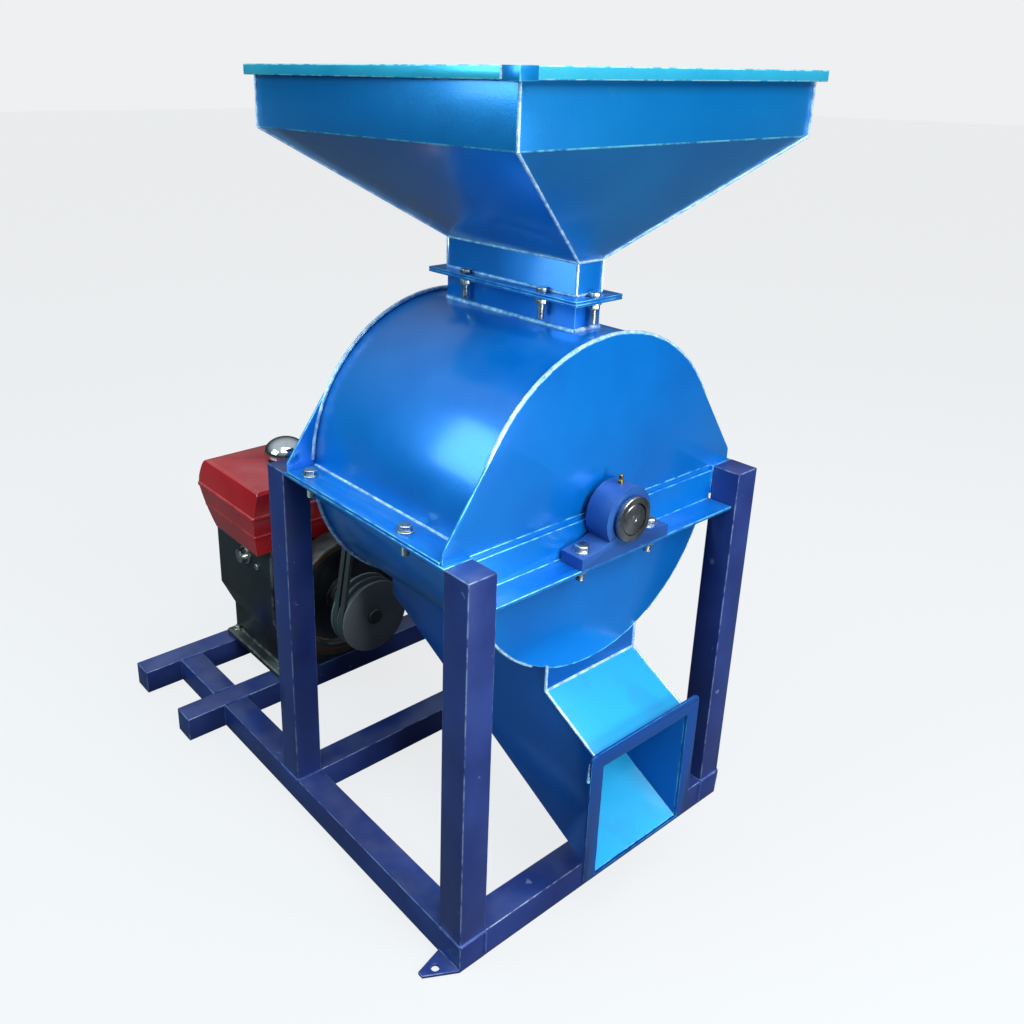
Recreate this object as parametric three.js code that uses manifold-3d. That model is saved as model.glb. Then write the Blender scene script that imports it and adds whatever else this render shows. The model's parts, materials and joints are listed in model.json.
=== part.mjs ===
// Hammer mill with a belt drive from a single-cylinder diesel engine.
// Millimetres, +Z up. X runs across the mill, the rotor lies along Y, and the
// discharge mouth faces -Y. The origin is on the floor, midway between the ends.
import * as THREE from 'three';
import { mergeVertices } from 'three/addons/utils/BufferGeometryUtils.js';
import Module from 'manifold-3d';

const wasm = await Module();
wasm.setup();

// ---------------------------------------------------------------- dimensions
const GAP = 0.3; // clearance kept between neighbouring pieces
const DRUM_SIDES = 56; // sides of the casing's round plates
const ROUND_SIDES = 28; // wheels, discs and pulleys
const BAR_SIDES = 20; // shafts, bosses and cans
const HOLE_SIDES = 10; // bolt holes, pins and small bosses

// Square-tube frame
const TUBE = 50;
const TUBE_WALL = 3;
const CASING_MARGIN = 1; // end plate to the legs, across the frame
const CHEEK_SETBACK = 7; // end plate behind the backs of the front legs
const FRAME_DEPTH = 510;
const LEG_TOP = 662;
const ENGINE_STANDOFF = 237; // from the rear legs to the front engine rail
const RAIL_PITCH = 204; // centre to centre of the engine rails
const RAIL_OVERHANG = 80; // rail beyond the frame at each side
const FOOT_REACH = 50;
const FOOT_THICKNESS = 5;
const ANCHOR_HOLE_R = 6.5;
const WEEP_HOLE_R = 4;

// Angle iron for the bearing ledges and side rails
const ANGLE = 50;
const ANGLE_THICKNESS = 5;
const BEARING_HEIGHT = 58; // ledge to rotor axis

// Casing
const CHEEK_R = 263;
const CHEEK_THICKNESS = 4;
const SHELL_INSET = 3; // end plate beyond the shell
const SHELL_THICKNESS = 4;
const SHOULDER_HEIGHT = 18; // upper cheek above the split at the frame's corners
const SHOULDER_INSET = 3;
const SHAFT_PORT_R = 36;
const FLANGE_BOLT_R = 6.5;
const SPLIT_BOLT_INSET = 22; // bolt to the outer edge of the split flange
const SPLIT_BOLT_ENDS = [106, 40]; // front and rear bolt from their cheeks

// Inlet collar and hopper
const INLET_WIDTH = 52;
const INLET_LENGTH = 286;
const DUCT_WALL = 3;
const COLLAR_TOP = 306; // above the rotor axis
const INLET_FLANGE = 22;
const INLET_FLANGE_THICKNESS = 4;
const INLET_BOLT_SPREAD = 170;
const NECK_HEIGHT = 49;
const PYRAMID_HEIGHT = 168;
const SKIRT_HEIGHT = 85;
const HOPPER_SIZE = 565;
const HOPPER_WALL = 2.5;
const RIM_REACH = 13;
const RIM_DROP = 15;
const RIM_THICKNESS = 3;

// Discharge chute
const CHUTE_WIDTH = 204;
const CHUTE_WALL = 3;
const CHUTE_DROP = 22; // knee of the front wall below the end plate
const CHUTE_SLOPE = THREE.MathUtils.degToRad(27);
const CHUTE_REACH = 62; // mouth in front of the frame
const MOUTH_HEIGHT = 210;
const LIP_WIDTH = 24;
const LIP_THICKNESS = 4;
const LIP_CORNER_R = 12;

// Rotor
const SHAFT_R = 30;
const JOURNAL_R = 25;
const SHAFT_CHAMFER = 2;
const JOURNAL_STUB = 6; // journal beyond the front bearing
const DISC_RIM = 22; // disc beyond the pin circle
const DISC_THICKNESS = 10;
const ROTOR_END_SPACE = 44; // outer disc's middle to the end of the shell
const PIN_R = 8;
const PIN_STUB = 7;
const PINS = 4;
const HAMMER_TO_SHAFT = 16; // a hammer swung inwards clears the shaft
const HAMMER_WIDTH = 40;
const HAMMER_THICKNESS = 12;
const HAMMER_HUB_R = 17;
const HAMMER_STAGGER = 42;
const SCREEN_CLEARANCE = 13; // hammer tip to screen
const SCREEN_BACKING = 10; // screen to shell
const SCREEN_THICKNESS = 3;
const SCREEN_SPAN = THREE.MathUtils.degToRad(140);
const SLOT_ROWS = 9;
const SLOTS_PER_ROW = 3;
const SLOT_WIDTH = 8;
const SLOT_LAND = 24;

// Bearings
const BEARING_WIDTH = 42;
const BEARING_LENGTH = 190;
const BEARING_FOOT_HEIGHT = 18;
const BEARING_R = 48;
const BEARING_BOSS_R = 31;
const BEARING_BOSS_REACH = 4;
const BEARING_BOLT_SPREAD = 150;

// Belt drive
const BELT_PLANE = 90; // behind the rear legs
const BELT_PITCH = 19;
const BELT_WIDTH = 13;
const BELT_THICKNESS = 9;
const BELT_SEAT = 1; // air between a belt and its groove
const BELTS = 2;
const BELT_STEPS = 12; // steps round each pulley
const MILL_PULLEY_R = 60;
const ENGINE_PULLEY_R = 76;
const PULLEY_WIDTH = 46;
const PULLEY_HUB_R = 34;
const GROOVE_FLARE = 1; // groove wider at its mouth, on each side
const CRANK_R = 16;
const CRANK_STUB = 4; // crank beyond its pulley

// Engine
const CRANK_X = -55;
const CRANK_HEIGHT = 193; // above the rails
const ENGINE_SOLE_MARGIN = 16; // crankcase beyond the rail centres
const FLYWHEEL_R = 132;
const FLYWHEEL_WIDTH = 54;
const FLYWHEEL_RIM = 26;
const FLYWHEEL_WEB = 16;
const FLYWHEEL_HUB_INSET = 4;
const FLYWHEEL_TO_BLOCK = 22;
const MAIN_BEARING_R = 70;
const MAIN_BEARING_REACH = 8; // main bearing cover on the crankcase
const CRANKCASE_TAIL = 134; // crank to the closed end of the crankcase
const CRANKCASE_NOSE = 211; // crank to the cylinder head joint
const CRANKCASE_TOP = 310; // above the rails
const CYLINDER_TOP = 280;
const CYLINDER_BOTTOM = 82;
const CRANKCASE_STEP = [50, 65]; // crank to the top and foot of the slope down to the cylinder
const SUMP_STEP_TAIL = 30; // sump narrower than the crankcase, at the closed end
const SUMP_SLOPE_TAIL = [75, 140]; // heights of the slope above that step
const SUMP_STEP_NOSE = 60; // and under the cylinder
const SUMP_TOP_NOSE = 50;
const SOLE_REACH = 24;
const SOLE_THICKNESS = 14;
const HEAD_LENGTH = 70;
const HEAD_WIDTH = 180;
const HEAD_BOTTOM = 100;
const HEAD_TOP = 270;
const ROCKER_COVER_REACH = 28;
const ROCKER_COVER_INSET = 14;
const RADIATOR_LENGTH = 140;
const RADIATOR_WIDTH = 200;
const RADIATOR_HEIGHT = 130;
const RADIATOR_CHAMFER = 12;
const TANK_LENGTH = 212; // along X
const TANK_WIDTH = 240; // along Y
const TANK_HEIGHT = 134;
const TANK_OVERHANG = 37; // beyond the tail of the crankcase
const TANK_FRONT_REACH = 6; // tank in front of the crankcase
const TANK_BASE_INSET = 5;
const TANK_RIDGE_HEIGHT = 80;
const TANK_CROWN_INSET = 20;
const TANK_CROWN_ROUND = 6;
const TANK_TAPER = 66; // underside rises over this length at the rear
const TANK_TAPER_HEIGHT = 96;
const TANK_REAR_ROUND = 22;
const FILLER_INSET = [66, 8]; // from the tank's inner side and the crankcase's middle
const FILLER_R = 30;
const FILLER_HEIGHT = 18;
const CAP_R = 44;
const CAP_HEIGHT = 52;
const CAP_NECK_HEIGHT = 16;
const SILENCER_R = 36;
const SILENCER_HEIGHT = 190;
const CLEANER_R = 40;
const CLEANER_HEIGHT = 120;
const CAN_PITCH = 90;
const CAN_INSET = 44; // from the head's joint
const CAN_NECK_R = 18;
const CAN_NECK_HEIGHT = 26;
const CAN_ROUND = 7;
const LEVER_LENGTH = 78;
const LEVER_WIDTH = 14;
const LEVER_THICKNESS = 6;
const LEVER_INSET = [36, 60]; // pivot from the crankcase's nose and top

// Derived sizes and places
const AXIS_Z = LEG_TOP;
const HALF_WIDTH = CHEEK_R + CASING_MARGIN + TUBE;
const SHELL_R = CHEEK_R - SHELL_INSET;
const LEDGE_TOP = AXIS_Z - BEARING_HEIGHT;
const CHEEK_FRONT = TUBE + CHEEK_SETBACK;
const CHEEK_REAR = FRAME_DEPTH - CHEEK_FRONT;
const MID_Y = FRAME_DEPTH / 2;
const SHELL_FRONT = CHEEK_FRONT + CHEEK_THICKNESS + GAP;
const SHELL_REAR = CHEEK_REAR - CHEEK_THICKNESS - GAP;
const RAIL_FRONT = FRAME_DEPTH + ENGINE_STANDOFF;
const RAIL_REAR = RAIL_FRONT + RAIL_PITCH;
const KNEE_Z = AXIS_Z - CHEEK_R - CHUTE_DROP;
const MOUTH_BOTTOM = KNEE_Z - (CHEEK_FRONT + CHUTE_REACH) * Math.tan(CHUTE_SLOPE) - MOUTH_HEIGHT;
const SCREEN_R = SHELL_R - SHELL_THICKNESS - SCREEN_BACKING - SCREEN_THICKNESS;
const HAMMER_TIP_R = SCREEN_R - SCREEN_CLEARANCE;
const HAMMER_ROOT_R = SHAFT_R + HAMMER_TO_SHAFT;
const PIN_CIRCLE_R = (HAMMER_TIP_R + HAMMER_ROOT_R) / 2;
const HAMMER_REACH = (HAMMER_TIP_R - HAMMER_ROOT_R) / 2;
const DISC_R = PIN_CIRCLE_R + DISC_RIM;
const DISC_PITCH = (SHELL_REAR - SHELL_FRONT) / 2 - ROTOR_END_SPACE;
const FLANGE_Z = AXIS_Z + COLLAR_TOP;
const NECK_TOP = FLANGE_Z + GAP + NECK_HEIGHT + INLET_FLANGE_THICKNESS;
const PYRAMID_TOP = NECK_TOP + GAP + PYRAMID_HEIGHT;
const RIM_TOP = PYRAMID_TOP + SKIRT_HEIGHT + GAP + RIM_THICKNESS;
const PULLEY_Y = FRAME_DEPTH + BELT_PLANE;
const CRANK_Z = TUBE + CRANK_HEIGHT;
const BLOCK_FRONT = RAIL_FRONT + 5;
const BLOCK_REAR = BLOCK_FRONT + RAIL_PITCH + 2 * ENGINE_SOLE_MARGIN;
const BLOCK_MID_Y = (BLOCK_FRONT + BLOCK_REAR) / 2;
const HEAD_X = CRANK_X + CRANKCASE_NOSE + GAP;
const TANK_Z = TUBE + CRANKCASE_TOP + GAP;
const TANK_X = CRANK_X - CRANKCASE_TAIL - TANK_OVERHANG;
const REAR_END = RAIL_REAR + TUBE + FOOT_REACH;
const FRONT_END = -CHUTE_REACH - GAP - LIP_THICKNESS;
const BEARING_FRONT_Y = CHEEK_FRONT - GAP - ANGLE_THICKNESS - GAP - BEARING_WIDTH / 2;
const BEARING_REAR_Y = FRAME_DEPTH - BEARING_FRONT_Y;

// ----------------------------------------------------------------- materials
const finish = (color, roughness, metalness) => (
  new THREE.MeshStandardMaterial({ color, roughness, metalness }));
const paint = (color, roughness = 0.32) => finish(color, roughness, 0.1);
const metal = (color, roughness) => finish(color, roughness, 0.9);
const casingBlue = paint(0x0f66bd);
const frameNavy = paint(0x24406f, 0.4);
const tankRed = paint(0xb3202a, 0.28);
const engineBlack = paint(0x24272a, 0.55);
const castIron = metal(0x3c3f42, 0.6);
const steel = metal(0x8a8d90, 0.35);
const chrome = metal(0xdfe2e4, 0.12);
const rubber = finish(0x151515, 0.85, 0);

// ------------------------------------------------------------ solid helpers
function solid(geometry) {
  const bare = geometry.clone();
  bare.deleteAttribute('normal');
  bare.deleteAttribute('uv');
  const merged = mergeVertices(bare, 1e-3);
  return new wasm.Manifold(new wasm.Mesh({
    numProp: 3,
    vertProperties: new Float32Array(merged.attributes.position.array),
    triVerts: new Uint32Array(merged.index.array),
  }));
}

function skin(manifold) {
  const { vertProperties, triVerts } = manifold.getMesh();
  const geometry = new THREE.BufferGeometry();
  geometry.setAttribute('position', new THREE.BufferAttribute(new Float32Array(vertProperties), 3));
  geometry.setIndex(new THREE.BufferAttribute(new Uint32Array(triVerts), 1));
  return geometry;
}

function cut(geometry, ...cutters) {
  return skin(cutters.reduce((left, cutter) => left.subtract(solid(cutter)), solid(geometry)));
}

function join(...pieces) {
  return skin(pieces.slice(1).reduce((left, piece) => left.add(solid(piece)), solid(pieces[0])));
}

function common(first, second) {
  return skin(solid(first).intersect(solid(second)));
}

// A block between two opposite corners.
function block([x0, y0, z0], [x1, y1, z1]) {
  return new THREE.BoxGeometry(x1 - x0, y1 - y0, z1 - z0)
    .translate((x0 + x1) / 2, (y0 + y1) / 2, (z0 + z1) / 2);
}

// An outline drawn in X and Z, extruded from y0 to y1.
function alongY(shape, y0, y1, curveSegments = 12) {
  return new THREE.ExtrudeGeometry(shape, { depth: y1 - y0, bevelEnabled: false, curveSegments })
    .rotateX(Math.PI / 2).translate(0, y1, 0);
}

// An outline drawn in Y and Z, extruded from x0 to x1.
function alongX(shape, x0, x1) {
  const turn = new THREE.Matrix4().makeBasis(
    new THREE.Vector3(0, 1, 0), new THREE.Vector3(0, 0, 1), new THREE.Vector3(1, 0, 0));
  return new THREE.ExtrudeGeometry(shape, { depth: x1 - x0, bevelEnabled: false })
    .applyMatrix4(turn).translate(x0, 0, 0);
}

function polygon(points) {
  return new THREE.Shape(points.map(([a, b]) => new THREE.Vector2(a, b)));
}

// A round bar along Y, centred on (x, z).
function barY(radius, y0, y1, x = 0, z = 0, segments = BAR_SIDES) {
  return new THREE.CylinderGeometry(radius, radius, y1 - y0, segments)
    .translate(x, (y0 + y1) / 2, z);
}

// A bar that cuts a bore whose flats all clear a bar of the given radius turning in it.
function boreY(radius, y0, y1, segments = BAR_SIDES) {
  return barY((radius + GAP) / Math.cos(Math.PI / segments), y0, y1, 0, 0, segments);
}

// A round bar along Z, centred on (x, y).
function barZ(radius, z0, z1, x = 0, y = 0, segments = HOLE_SIDES) {
  return new THREE.CylinderGeometry(radius, radius, z1 - z0, segments)
    .rotateX(Math.PI / 2).translate(x, y, (z0 + z1) / 2);
}

// A profile of [radius, y] pairs turned about the Y axis.
function turned(profile, segments = BAR_SIDES) {
  return new THREE.LatheGeometry(profile.map(([r, y]) => new THREE.Vector2(r, y)), segments);
}

// A closed half ring about the rotor axis, above (+1) or below (-1) the split.
function halfRing(outer, inner, y0, y1, side) {
  const ring = cut(barY(outer, y0, y1, 0, 0, DRUM_SIDES), barY(inner, y0 - 1, y1 + 1, 0, 0, DRUM_SIDES));
  const reach = outer + 1;
  const waste = block([-reach, y0 - 1, -reach], [reach, y1 + 1, GAP / 2]);
  return cut(ring, side > 0 ? waste : waste.rotateY(Math.PI));
}

// A straight duct of rectangular section with its walls inside the outline.
function duct(width, length, z0, z1, wall) {
  const outer = block([-width / 2, -length / 2, z0], [width / 2, length / 2, z1]);
  const inner = block(
    [-width / 2 + wall, -length / 2 + wall, z0 - 1], [width / 2 - wall, length / 2 - wall, z1 + 1]);
  return cut(outer, inner);
}

// A block whose top and bottom rectangles differ, as a frustum.
function frustum(bottom, top, z0, z1) {
  const corners = ([width, length], z) => [
    [-width / 2, -length / 2, z], [width / 2, -length / 2, z],
    [width / 2, length / 2, z], [-width / 2, length / 2, z]];
  const points = [...corners(bottom, z0), ...corners(top, z1)].flat();
  const faces = [0, 2, 1, 0, 3, 2, 4, 5, 6, 4, 6, 7];
  for (let side = 0; side < 4; side += 1) {
    const next = (side + 1) % 4;
    faces.push(side, next, next + 4, side, next + 4, side + 4);
  }
  const geometry = new THREE.BufferGeometry();
  geometry.setAttribute('position', new THREE.Float32BufferAttribute(points, 3));
  geometry.setIndex(faces);
  return geometry;
}

const machine = new THREE.Group();
machine.position.y = -(FRONT_END + REAR_END) / 2;

function place(parent, name, geometry, material, position = [0, 0, 0]) {
  const mesh = new THREE.Mesh(geometry, material);
  mesh.name = name;
  mesh.position.set(...position);
  parent.add(mesh);
  return mesh;
}

// --------------------------------------------------------------------- frame
// Square tube between two corners, open inside, with a weep hole underneath.
function tube(low, high) {
  const core = [0, 1, 2].map((i) => [low[i] + TUBE_WALL, high[i] - TUBE_WALL]);
  const weepX = (low[0] + high[0]) / 2;
  const weepY = (low[1] + high[1]) / 2;
  return cut(
    block(low, high),
    block(core.map((c) => c[0]), core.map((c) => c[1])),
    barZ(WEEP_HOLE_R, low[2] - 1, low[2] + TUBE_WALL + 1, weepX, weepY, 6));
}

// Triangular anchor plate on the floor, pointing away from a tube's side.
function foot(root, along, out) {
  const wall = TUBE_WALL / 2;
  const corner = (a, b) => [root[0] + along[0] * a + out[0] * b, root[1] + along[1] * a + out[1] * b];
  const plate = new THREE.ExtrudeGeometry(
    polygon([corner(0, -wall), corner(TUBE, -wall), corner(TUBE, 0), corner(TUBE * 0.75, FOOT_REACH),
      corner(TUBE * 0.55, FOOT_REACH), corner(0, 0)]),
    { depth: FOOT_THICKNESS, bevelEnabled: false });
  const [holeX, holeY] = corner(TUBE * 0.55, FOOT_REACH * 0.5);
  return cut(plate, barZ(ANCHOR_HOLE_R, -1, FOOT_THICKNESS + 1, holeX, holeY));
}

function buildFrame() {
  const frame = new THREE.Group();
  const inner = HALF_WIDTH - TUBE;
  const sides = [['left', -1], ['right', 1]];
  for (const [side, sign] of sides) {
    const span = (a, b) => (sign > 0 ? [a, b] : [-b, -a]);
    const [x0, x1] = span(inner, HALF_WIDTH);
    const beam = tube([x0, 0, 0], [x1, RAIL_FRONT - GAP, TUBE]);
    place(frame, `base_beam_${side}`,
      join(beam, foot([sign * HALF_WIDTH, 0], [0, 1], [sign, 0])), frameNavy);
    place(frame, `base_tie_${side}`,
      tube([x0, RAIL_FRONT + TUBE + GAP, 0], [x1, RAIL_REAR - GAP, TUBE]), frameNavy);
    for (const [end, y0] of [['front', 0], ['rear', FRAME_DEPTH - TUBE]]) {
      place(frame, `leg_${end}_${side}`, tube([x0, y0, TUBE + GAP], [x1, y0 + TUBE, LEG_TOP]), frameNavy);
    }
  }
  for (const [name, y0] of [['front', 0], ['middle', FRAME_DEPTH - TUBE]]) {
    place(frame, `base_beam_${name}`,
      tube([-inner + GAP, y0, 0], [inner - GAP, y0 + TUBE, TUBE]), frameNavy);
  }
  const reach = HALF_WIDTH + RAIL_OVERHANG;
  place(frame, 'engine_rail_front',
    tube([-reach, RAIL_FRONT, 0], [reach, RAIL_FRONT + TUBE, TUBE]), frameNavy);
  const rearRail = tube([-reach, RAIL_REAR, 0], [reach, RAIL_REAR + TUBE, TUBE]);
  const rearFeet = sides.map(([, sign]) => foot([sign * inner, RAIL_REAR + TUBE], [sign, 0], [0, 1]));
  place(frame, 'engine_rail_rear', join(rearRail, ...rearFeet), frameNavy);
  return frame;
}

// Angle iron under each bearing, with a notch for the shaft in its upright.
function buildLedges() {
  const ledges = new THREE.Group();
  const reach = CHEEK_R;
  const notch = barY(SHAFT_PORT_R, -1, FRAME_DEPTH + 1, 0, AXIS_Z);
  for (const [name, face, sign] of [['front', CHEEK_FRONT - GAP, -1], ['rear', CHEEK_REAR + GAP, 1]]) {
    const shelf = ANGLE_THICKNESS;
    const outline = polygon([
      [face, LEDGE_TOP - shelf], [face + sign * ANGLE, LEDGE_TOP - shelf], [face + sign * ANGLE, LEDGE_TOP],
      [face + sign * shelf, LEDGE_TOP], [face + sign * shelf, LEDGE_TOP + ANGLE], [face, LEDGE_TOP + ANGLE]]);
    const bolts = [-1, 1].map((side) => barZ(FLANGE_BOLT_R, LEDGE_TOP - shelf - 1, LEDGE_TOP + 1,
      side * BEARING_BOLT_SPREAD / 2, name === 'front' ? BEARING_FRONT_Y : BEARING_REAR_Y));
    place(ledges, `bearing_ledge_${name}`, cut(alongX(outline, -reach, reach), notch, ...bolts), casingBlue);
  }
  return ledges;
}

function splitBolts(sign, z0, z1) {
  const x = sign * (CHEEK_R + GAP + ANGLE - SPLIT_BOLT_INSET);
  return [CHEEK_FRONT + SPLIT_BOLT_ENDS[0], CHEEK_REAR - SPLIT_BOLT_ENDS[1]]
    .map((y) => barZ(FLANGE_BOLT_R, z0, z1, x, y));
}

function buildSideRails() {
  const rails = new THREE.Group();
  const top = AXIS_Z - GAP / 2;
  const inside = CHEEK_R + GAP;
  for (const [side, sign] of [['left', -1], ['right', 1]]) {
    const outline = polygon([
      [sign * inside, top], [sign * (inside + ANGLE), top],
      [sign * (inside + ANGLE), top - ANGLE_THICKNESS],
      [sign * (inside + ANGLE_THICKNESS), top - ANGLE_THICKNESS],
      [sign * (inside + ANGLE_THICKNESS), top - ANGLE], [sign * inside, top - ANGLE]]);
    const rail = alongY(outline, TUBE + GAP, FRAME_DEPTH - TUBE - GAP);
    place(rails, `side_rail_${side}`, cut(rail, ...splitBolts(sign, top - ANGLE, top + 1)), casingBlue);
  }
  return rails;
}

// -------------------------------------------------------------------- casing
// Point where a line from an outside point touches the cheek's circle.
function tangentPoint([x, z], radius) {
  const distance = Math.hypot(x, z);
  const angle = Math.atan2(z, x) + Math.acos(radius / distance);
  return [radius * Math.cos(angle), radius * Math.sin(angle)];
}

// Upper end plate: a half disc whose tangent shoulders reach the frame's corners.
function upperCheek() {
  const reach = HALF_WIDTH - SHOULDER_INSET;
  const base = GAP / 2;
  const [touchX, touchZ] = tangentPoint([reach, SHOULDER_HEIGHT], CHEEK_R);
  const start = Math.atan2(touchZ, touchX);
  const shape = new THREE.Shape();
  shape.moveTo(-reach, base);
  shape.lineTo(reach, base);
  shape.lineTo(reach, SHOULDER_HEIGHT);
  shape.lineTo(touchX, touchZ);
  shape.absarc(0, 0, CHEEK_R, start, Math.PI - start, false);
  shape.lineTo(-reach, SHOULDER_HEIGHT);
  shape.closePath();
  return cut(alongY(shape, 0, CHEEK_THICKNESS, DRUM_SIDES / 2), barY(SHAFT_PORT_R, -1, CHEEK_THICKNESS + 1));
}

function lowerCheek() {
  return halfRing(CHEEK_R, SHAFT_PORT_R, 0, CHEEK_THICKNESS, -1);
}

function upperShell() {
  const ring = halfRing(SHELL_R, SHELL_R - SHELL_THICKNESS, SHELL_FRONT, SHELL_REAR, 1);
  const inlet = block(
    [-INLET_WIDTH / 2 + DUCT_WALL, MID_Y - INLET_LENGTH / 2 + DUCT_WALL, 0],
    [INLET_WIDTH / 2 - DUCT_WALL, MID_Y + INLET_LENGTH / 2 - DUCT_WALL, SHELL_R + 1]);
  const inside = SHELL_R - SHELL_THICKNESS / 2;
  const outside = CHEEK_R + GAP + ANGLE;
  const flanges = [-1, 1].map((sign) => block(
    [Math.min(sign * inside, sign * outside), SHELL_FRONT, GAP / 2],
    [Math.max(sign * inside, sign * outside), SHELL_REAR, GAP / 2 + ANGLE_THICKNESS]));
  const bolts = [-1, 1].flatMap((sign) => splitBolts(sign, -1, ANGLE_THICKNESS + 2));
  return cut(join(ring, ...flanges), inlet, ...bolts);
}

function lowerShell() {
  const ring = halfRing(SHELL_R, SHELL_R - SHELL_THICKNESS, SHELL_FRONT, SHELL_REAR, -1);
  const half = CHUTE_WIDTH / 2 - CHUTE_WALL;
  const outlet = block([-half, SHELL_FRONT - 1, -SHELL_R - 1], [half, SHELL_REAR + 1, 0]);
  return join(...solid(cut(ring, outlet)).decompose().map(skin), outletFrame(half));
}

// Bars across the outlet at each end, which tie the two lower quarters together.
function outletFrame(half) {
  const depth = Math.sqrt(SHELL_R ** 2 - half ** 2);
  const arc = halfRing(SHELL_R, SHELL_R - SHELL_THICKNESS, SHELL_FRONT, SHELL_REAR, -1);
  const bars = join(
    block([-half - 2, SHELL_FRONT, -SHELL_R - 1], [half + 2, SHELL_FRONT + 8, -depth / 2]),
    block([-half - 2, SHELL_REAR - 8, -SHELL_R - 1], [half + 2, SHELL_REAR, -depth / 2]));
  return common(arc, bars);
}

// Sizing screen: a slotted arc that hangs under the rotor.
function screen() {
  const y0 = SHELL_FRONT;
  const y1 = SHELL_REAR;
  const arc = new THREE.Shape();
  const from = -Math.PI / 2 - SCREEN_SPAN / 2;
  const to = -Math.PI / 2 + SCREEN_SPAN / 2;
  const outer = SCREEN_R + SCREEN_THICKNESS;
  arc.absarc(0, 0, outer, from, to, false);
  arc.absarc(0, 0, SCREEN_R, to, from, true);
  arc.closePath();
  const slotLength = (y1 - y0 - SLOT_LAND) / SLOTS_PER_ROW - SLOT_LAND;
  const slots = [];
  for (let row = 0; row < SLOT_ROWS; row += 1) {
    const angle = from + (SCREEN_SPAN * (row + 0.5)) / SLOT_ROWS;
    for (let index = 0; index < SLOTS_PER_ROW; index += 1) {
      const start = y0 + SLOT_LAND + index * (slotLength + SLOT_LAND);
      slots.push(new THREE.BoxGeometry(SCREEN_THICKNESS * 6, slotLength, SLOT_WIDTH)
        .translate(SCREEN_R, 0, 0).rotateY(-angle).translate(0, start + slotLength / 2, 0));
    }
  }
  return cut(alongY(arc, y0, y1, SLOT_ROWS * 2), ...slots);
}

function buildCasing() {
  const casing = new THREE.Group();
  casing.position.z = AXIS_Z;
  const rear = CHEEK_REAR - CHEEK_THICKNESS;
  for (const [end, y] of [['front', CHEEK_FRONT], ['rear', rear]]) {
    place(casing, `upper_cheek_${end}`, upperCheek(), casingBlue, [0, y, 0]);
    place(casing, `lower_cheek_${end}`, lowerCheek(), casingBlue, [0, y, 0]);
  }
  place(casing, 'upper_shell', upperShell(), casingBlue);
  place(casing, 'lower_shell', lowerShell(), casingBlue);
  place(casing, 'sizing_screen', screen(), steel);
  return casing;
}

// -------------------------------------------------------------------- hopper
// Bolt holes of the inlet flange: two along each side and one at each end.
function inletBolts(z0, z1) {
  const x = INLET_WIDTH / 2 + INLET_FLANGE / 2;
  const y = INLET_LENGTH / 2 + INLET_FLANGE / 2;
  const half = INLET_BOLT_SPREAD / 2;
  return [[-x, -half], [-x, half], [x, -half], [x, half], [0, -y], [0, y]]
    .map(([bx, by]) => barZ(FLANGE_BOLT_R - 1, z0, z1, bx, by));
}

function flangedDuct(z0, z1, flangeBottom) {
  const flangeTop = flangeBottom + INLET_FLANGE_THICKNESS;
  const flange = duct(INLET_WIDTH + 2 * INLET_FLANGE, INLET_LENGTH + 2 * INLET_FLANGE,
    flangeBottom, flangeTop, INLET_FLANGE + DUCT_WALL / 2);
  return cut(join(duct(INLET_WIDTH, INLET_LENGTH, z0, z1, DUCT_WALL), flange),
    ...inletBolts(flangeBottom - 1, flangeTop + 1));
}

function inletCollar() {
  const collar = flangedDuct(SHELL_R / 2, COLLAR_TOP, COLLAR_TOP - INLET_FLANGE_THICKNESS);
  return cut(collar, barY(SHELL_R + GAP, -INLET_LENGTH, INLET_LENGTH, 0, 0, DRUM_SIDES));
}

// Skirt over a pyramid, open at the top and at the throat.
function hopperPan() {
  const throat = [INLET_WIDTH, INLET_LENGTH];
  const mouth = [HOPPER_SIZE, HOPPER_SIZE];
  const thin = ([width, length]) => [width - 2 * HOPPER_WALL, length - 2 * HOPPER_WALL];
  const skirtTop = PYRAMID_HEIGHT + SKIRT_HEIGHT;
  const outer = join(
    frustum(throat, mouth, 0, PYRAMID_HEIGHT), frustum(mouth, mouth, PYRAMID_HEIGHT, skirtTop));
  return cut(outer, frustum(thin(throat), thin(mouth), 0, PYRAMID_HEIGHT),
    frustum(thin(mouth), thin(mouth), PYRAMID_HEIGHT, skirtTop + 1),
    frustum(thin(throat), thin(throat), -1, 0.5));
}

// Folded rim: a flat band over the skirt's edge, turned down at the outside.
function hopperRim() {
  const outside = HOPPER_SIZE + 2 * RIM_REACH;
  const band = duct(outside, outside, -RIM_THICKNESS, 0, RIM_REACH + HOPPER_WALL + GAP);
  const drop = duct(outside, outside, -RIM_DROP, 0, RIM_THICKNESS);
  return join(band, drop);
}

function buildHopper() {
  const hopper = new THREE.Group();
  hopper.position.y = MID_Y;
  place(hopper, 'inlet_collar', inletCollar(), casingBlue, [0, 0, AXIS_Z]);
  const neckBase = FLANGE_Z + GAP;
  place(hopper, 'hopper_neck', flangedDuct(neckBase, NECK_TOP, neckBase), casingBlue);
  place(hopper, 'hopper_pan', hopperPan(), casingBlue, [0, 0, NECK_TOP + GAP]);
  place(hopper, 'hopper_rim', hopperRim(), casingBlue, [0, 0, RIM_TOP]);
  return hopper;
}

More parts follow.
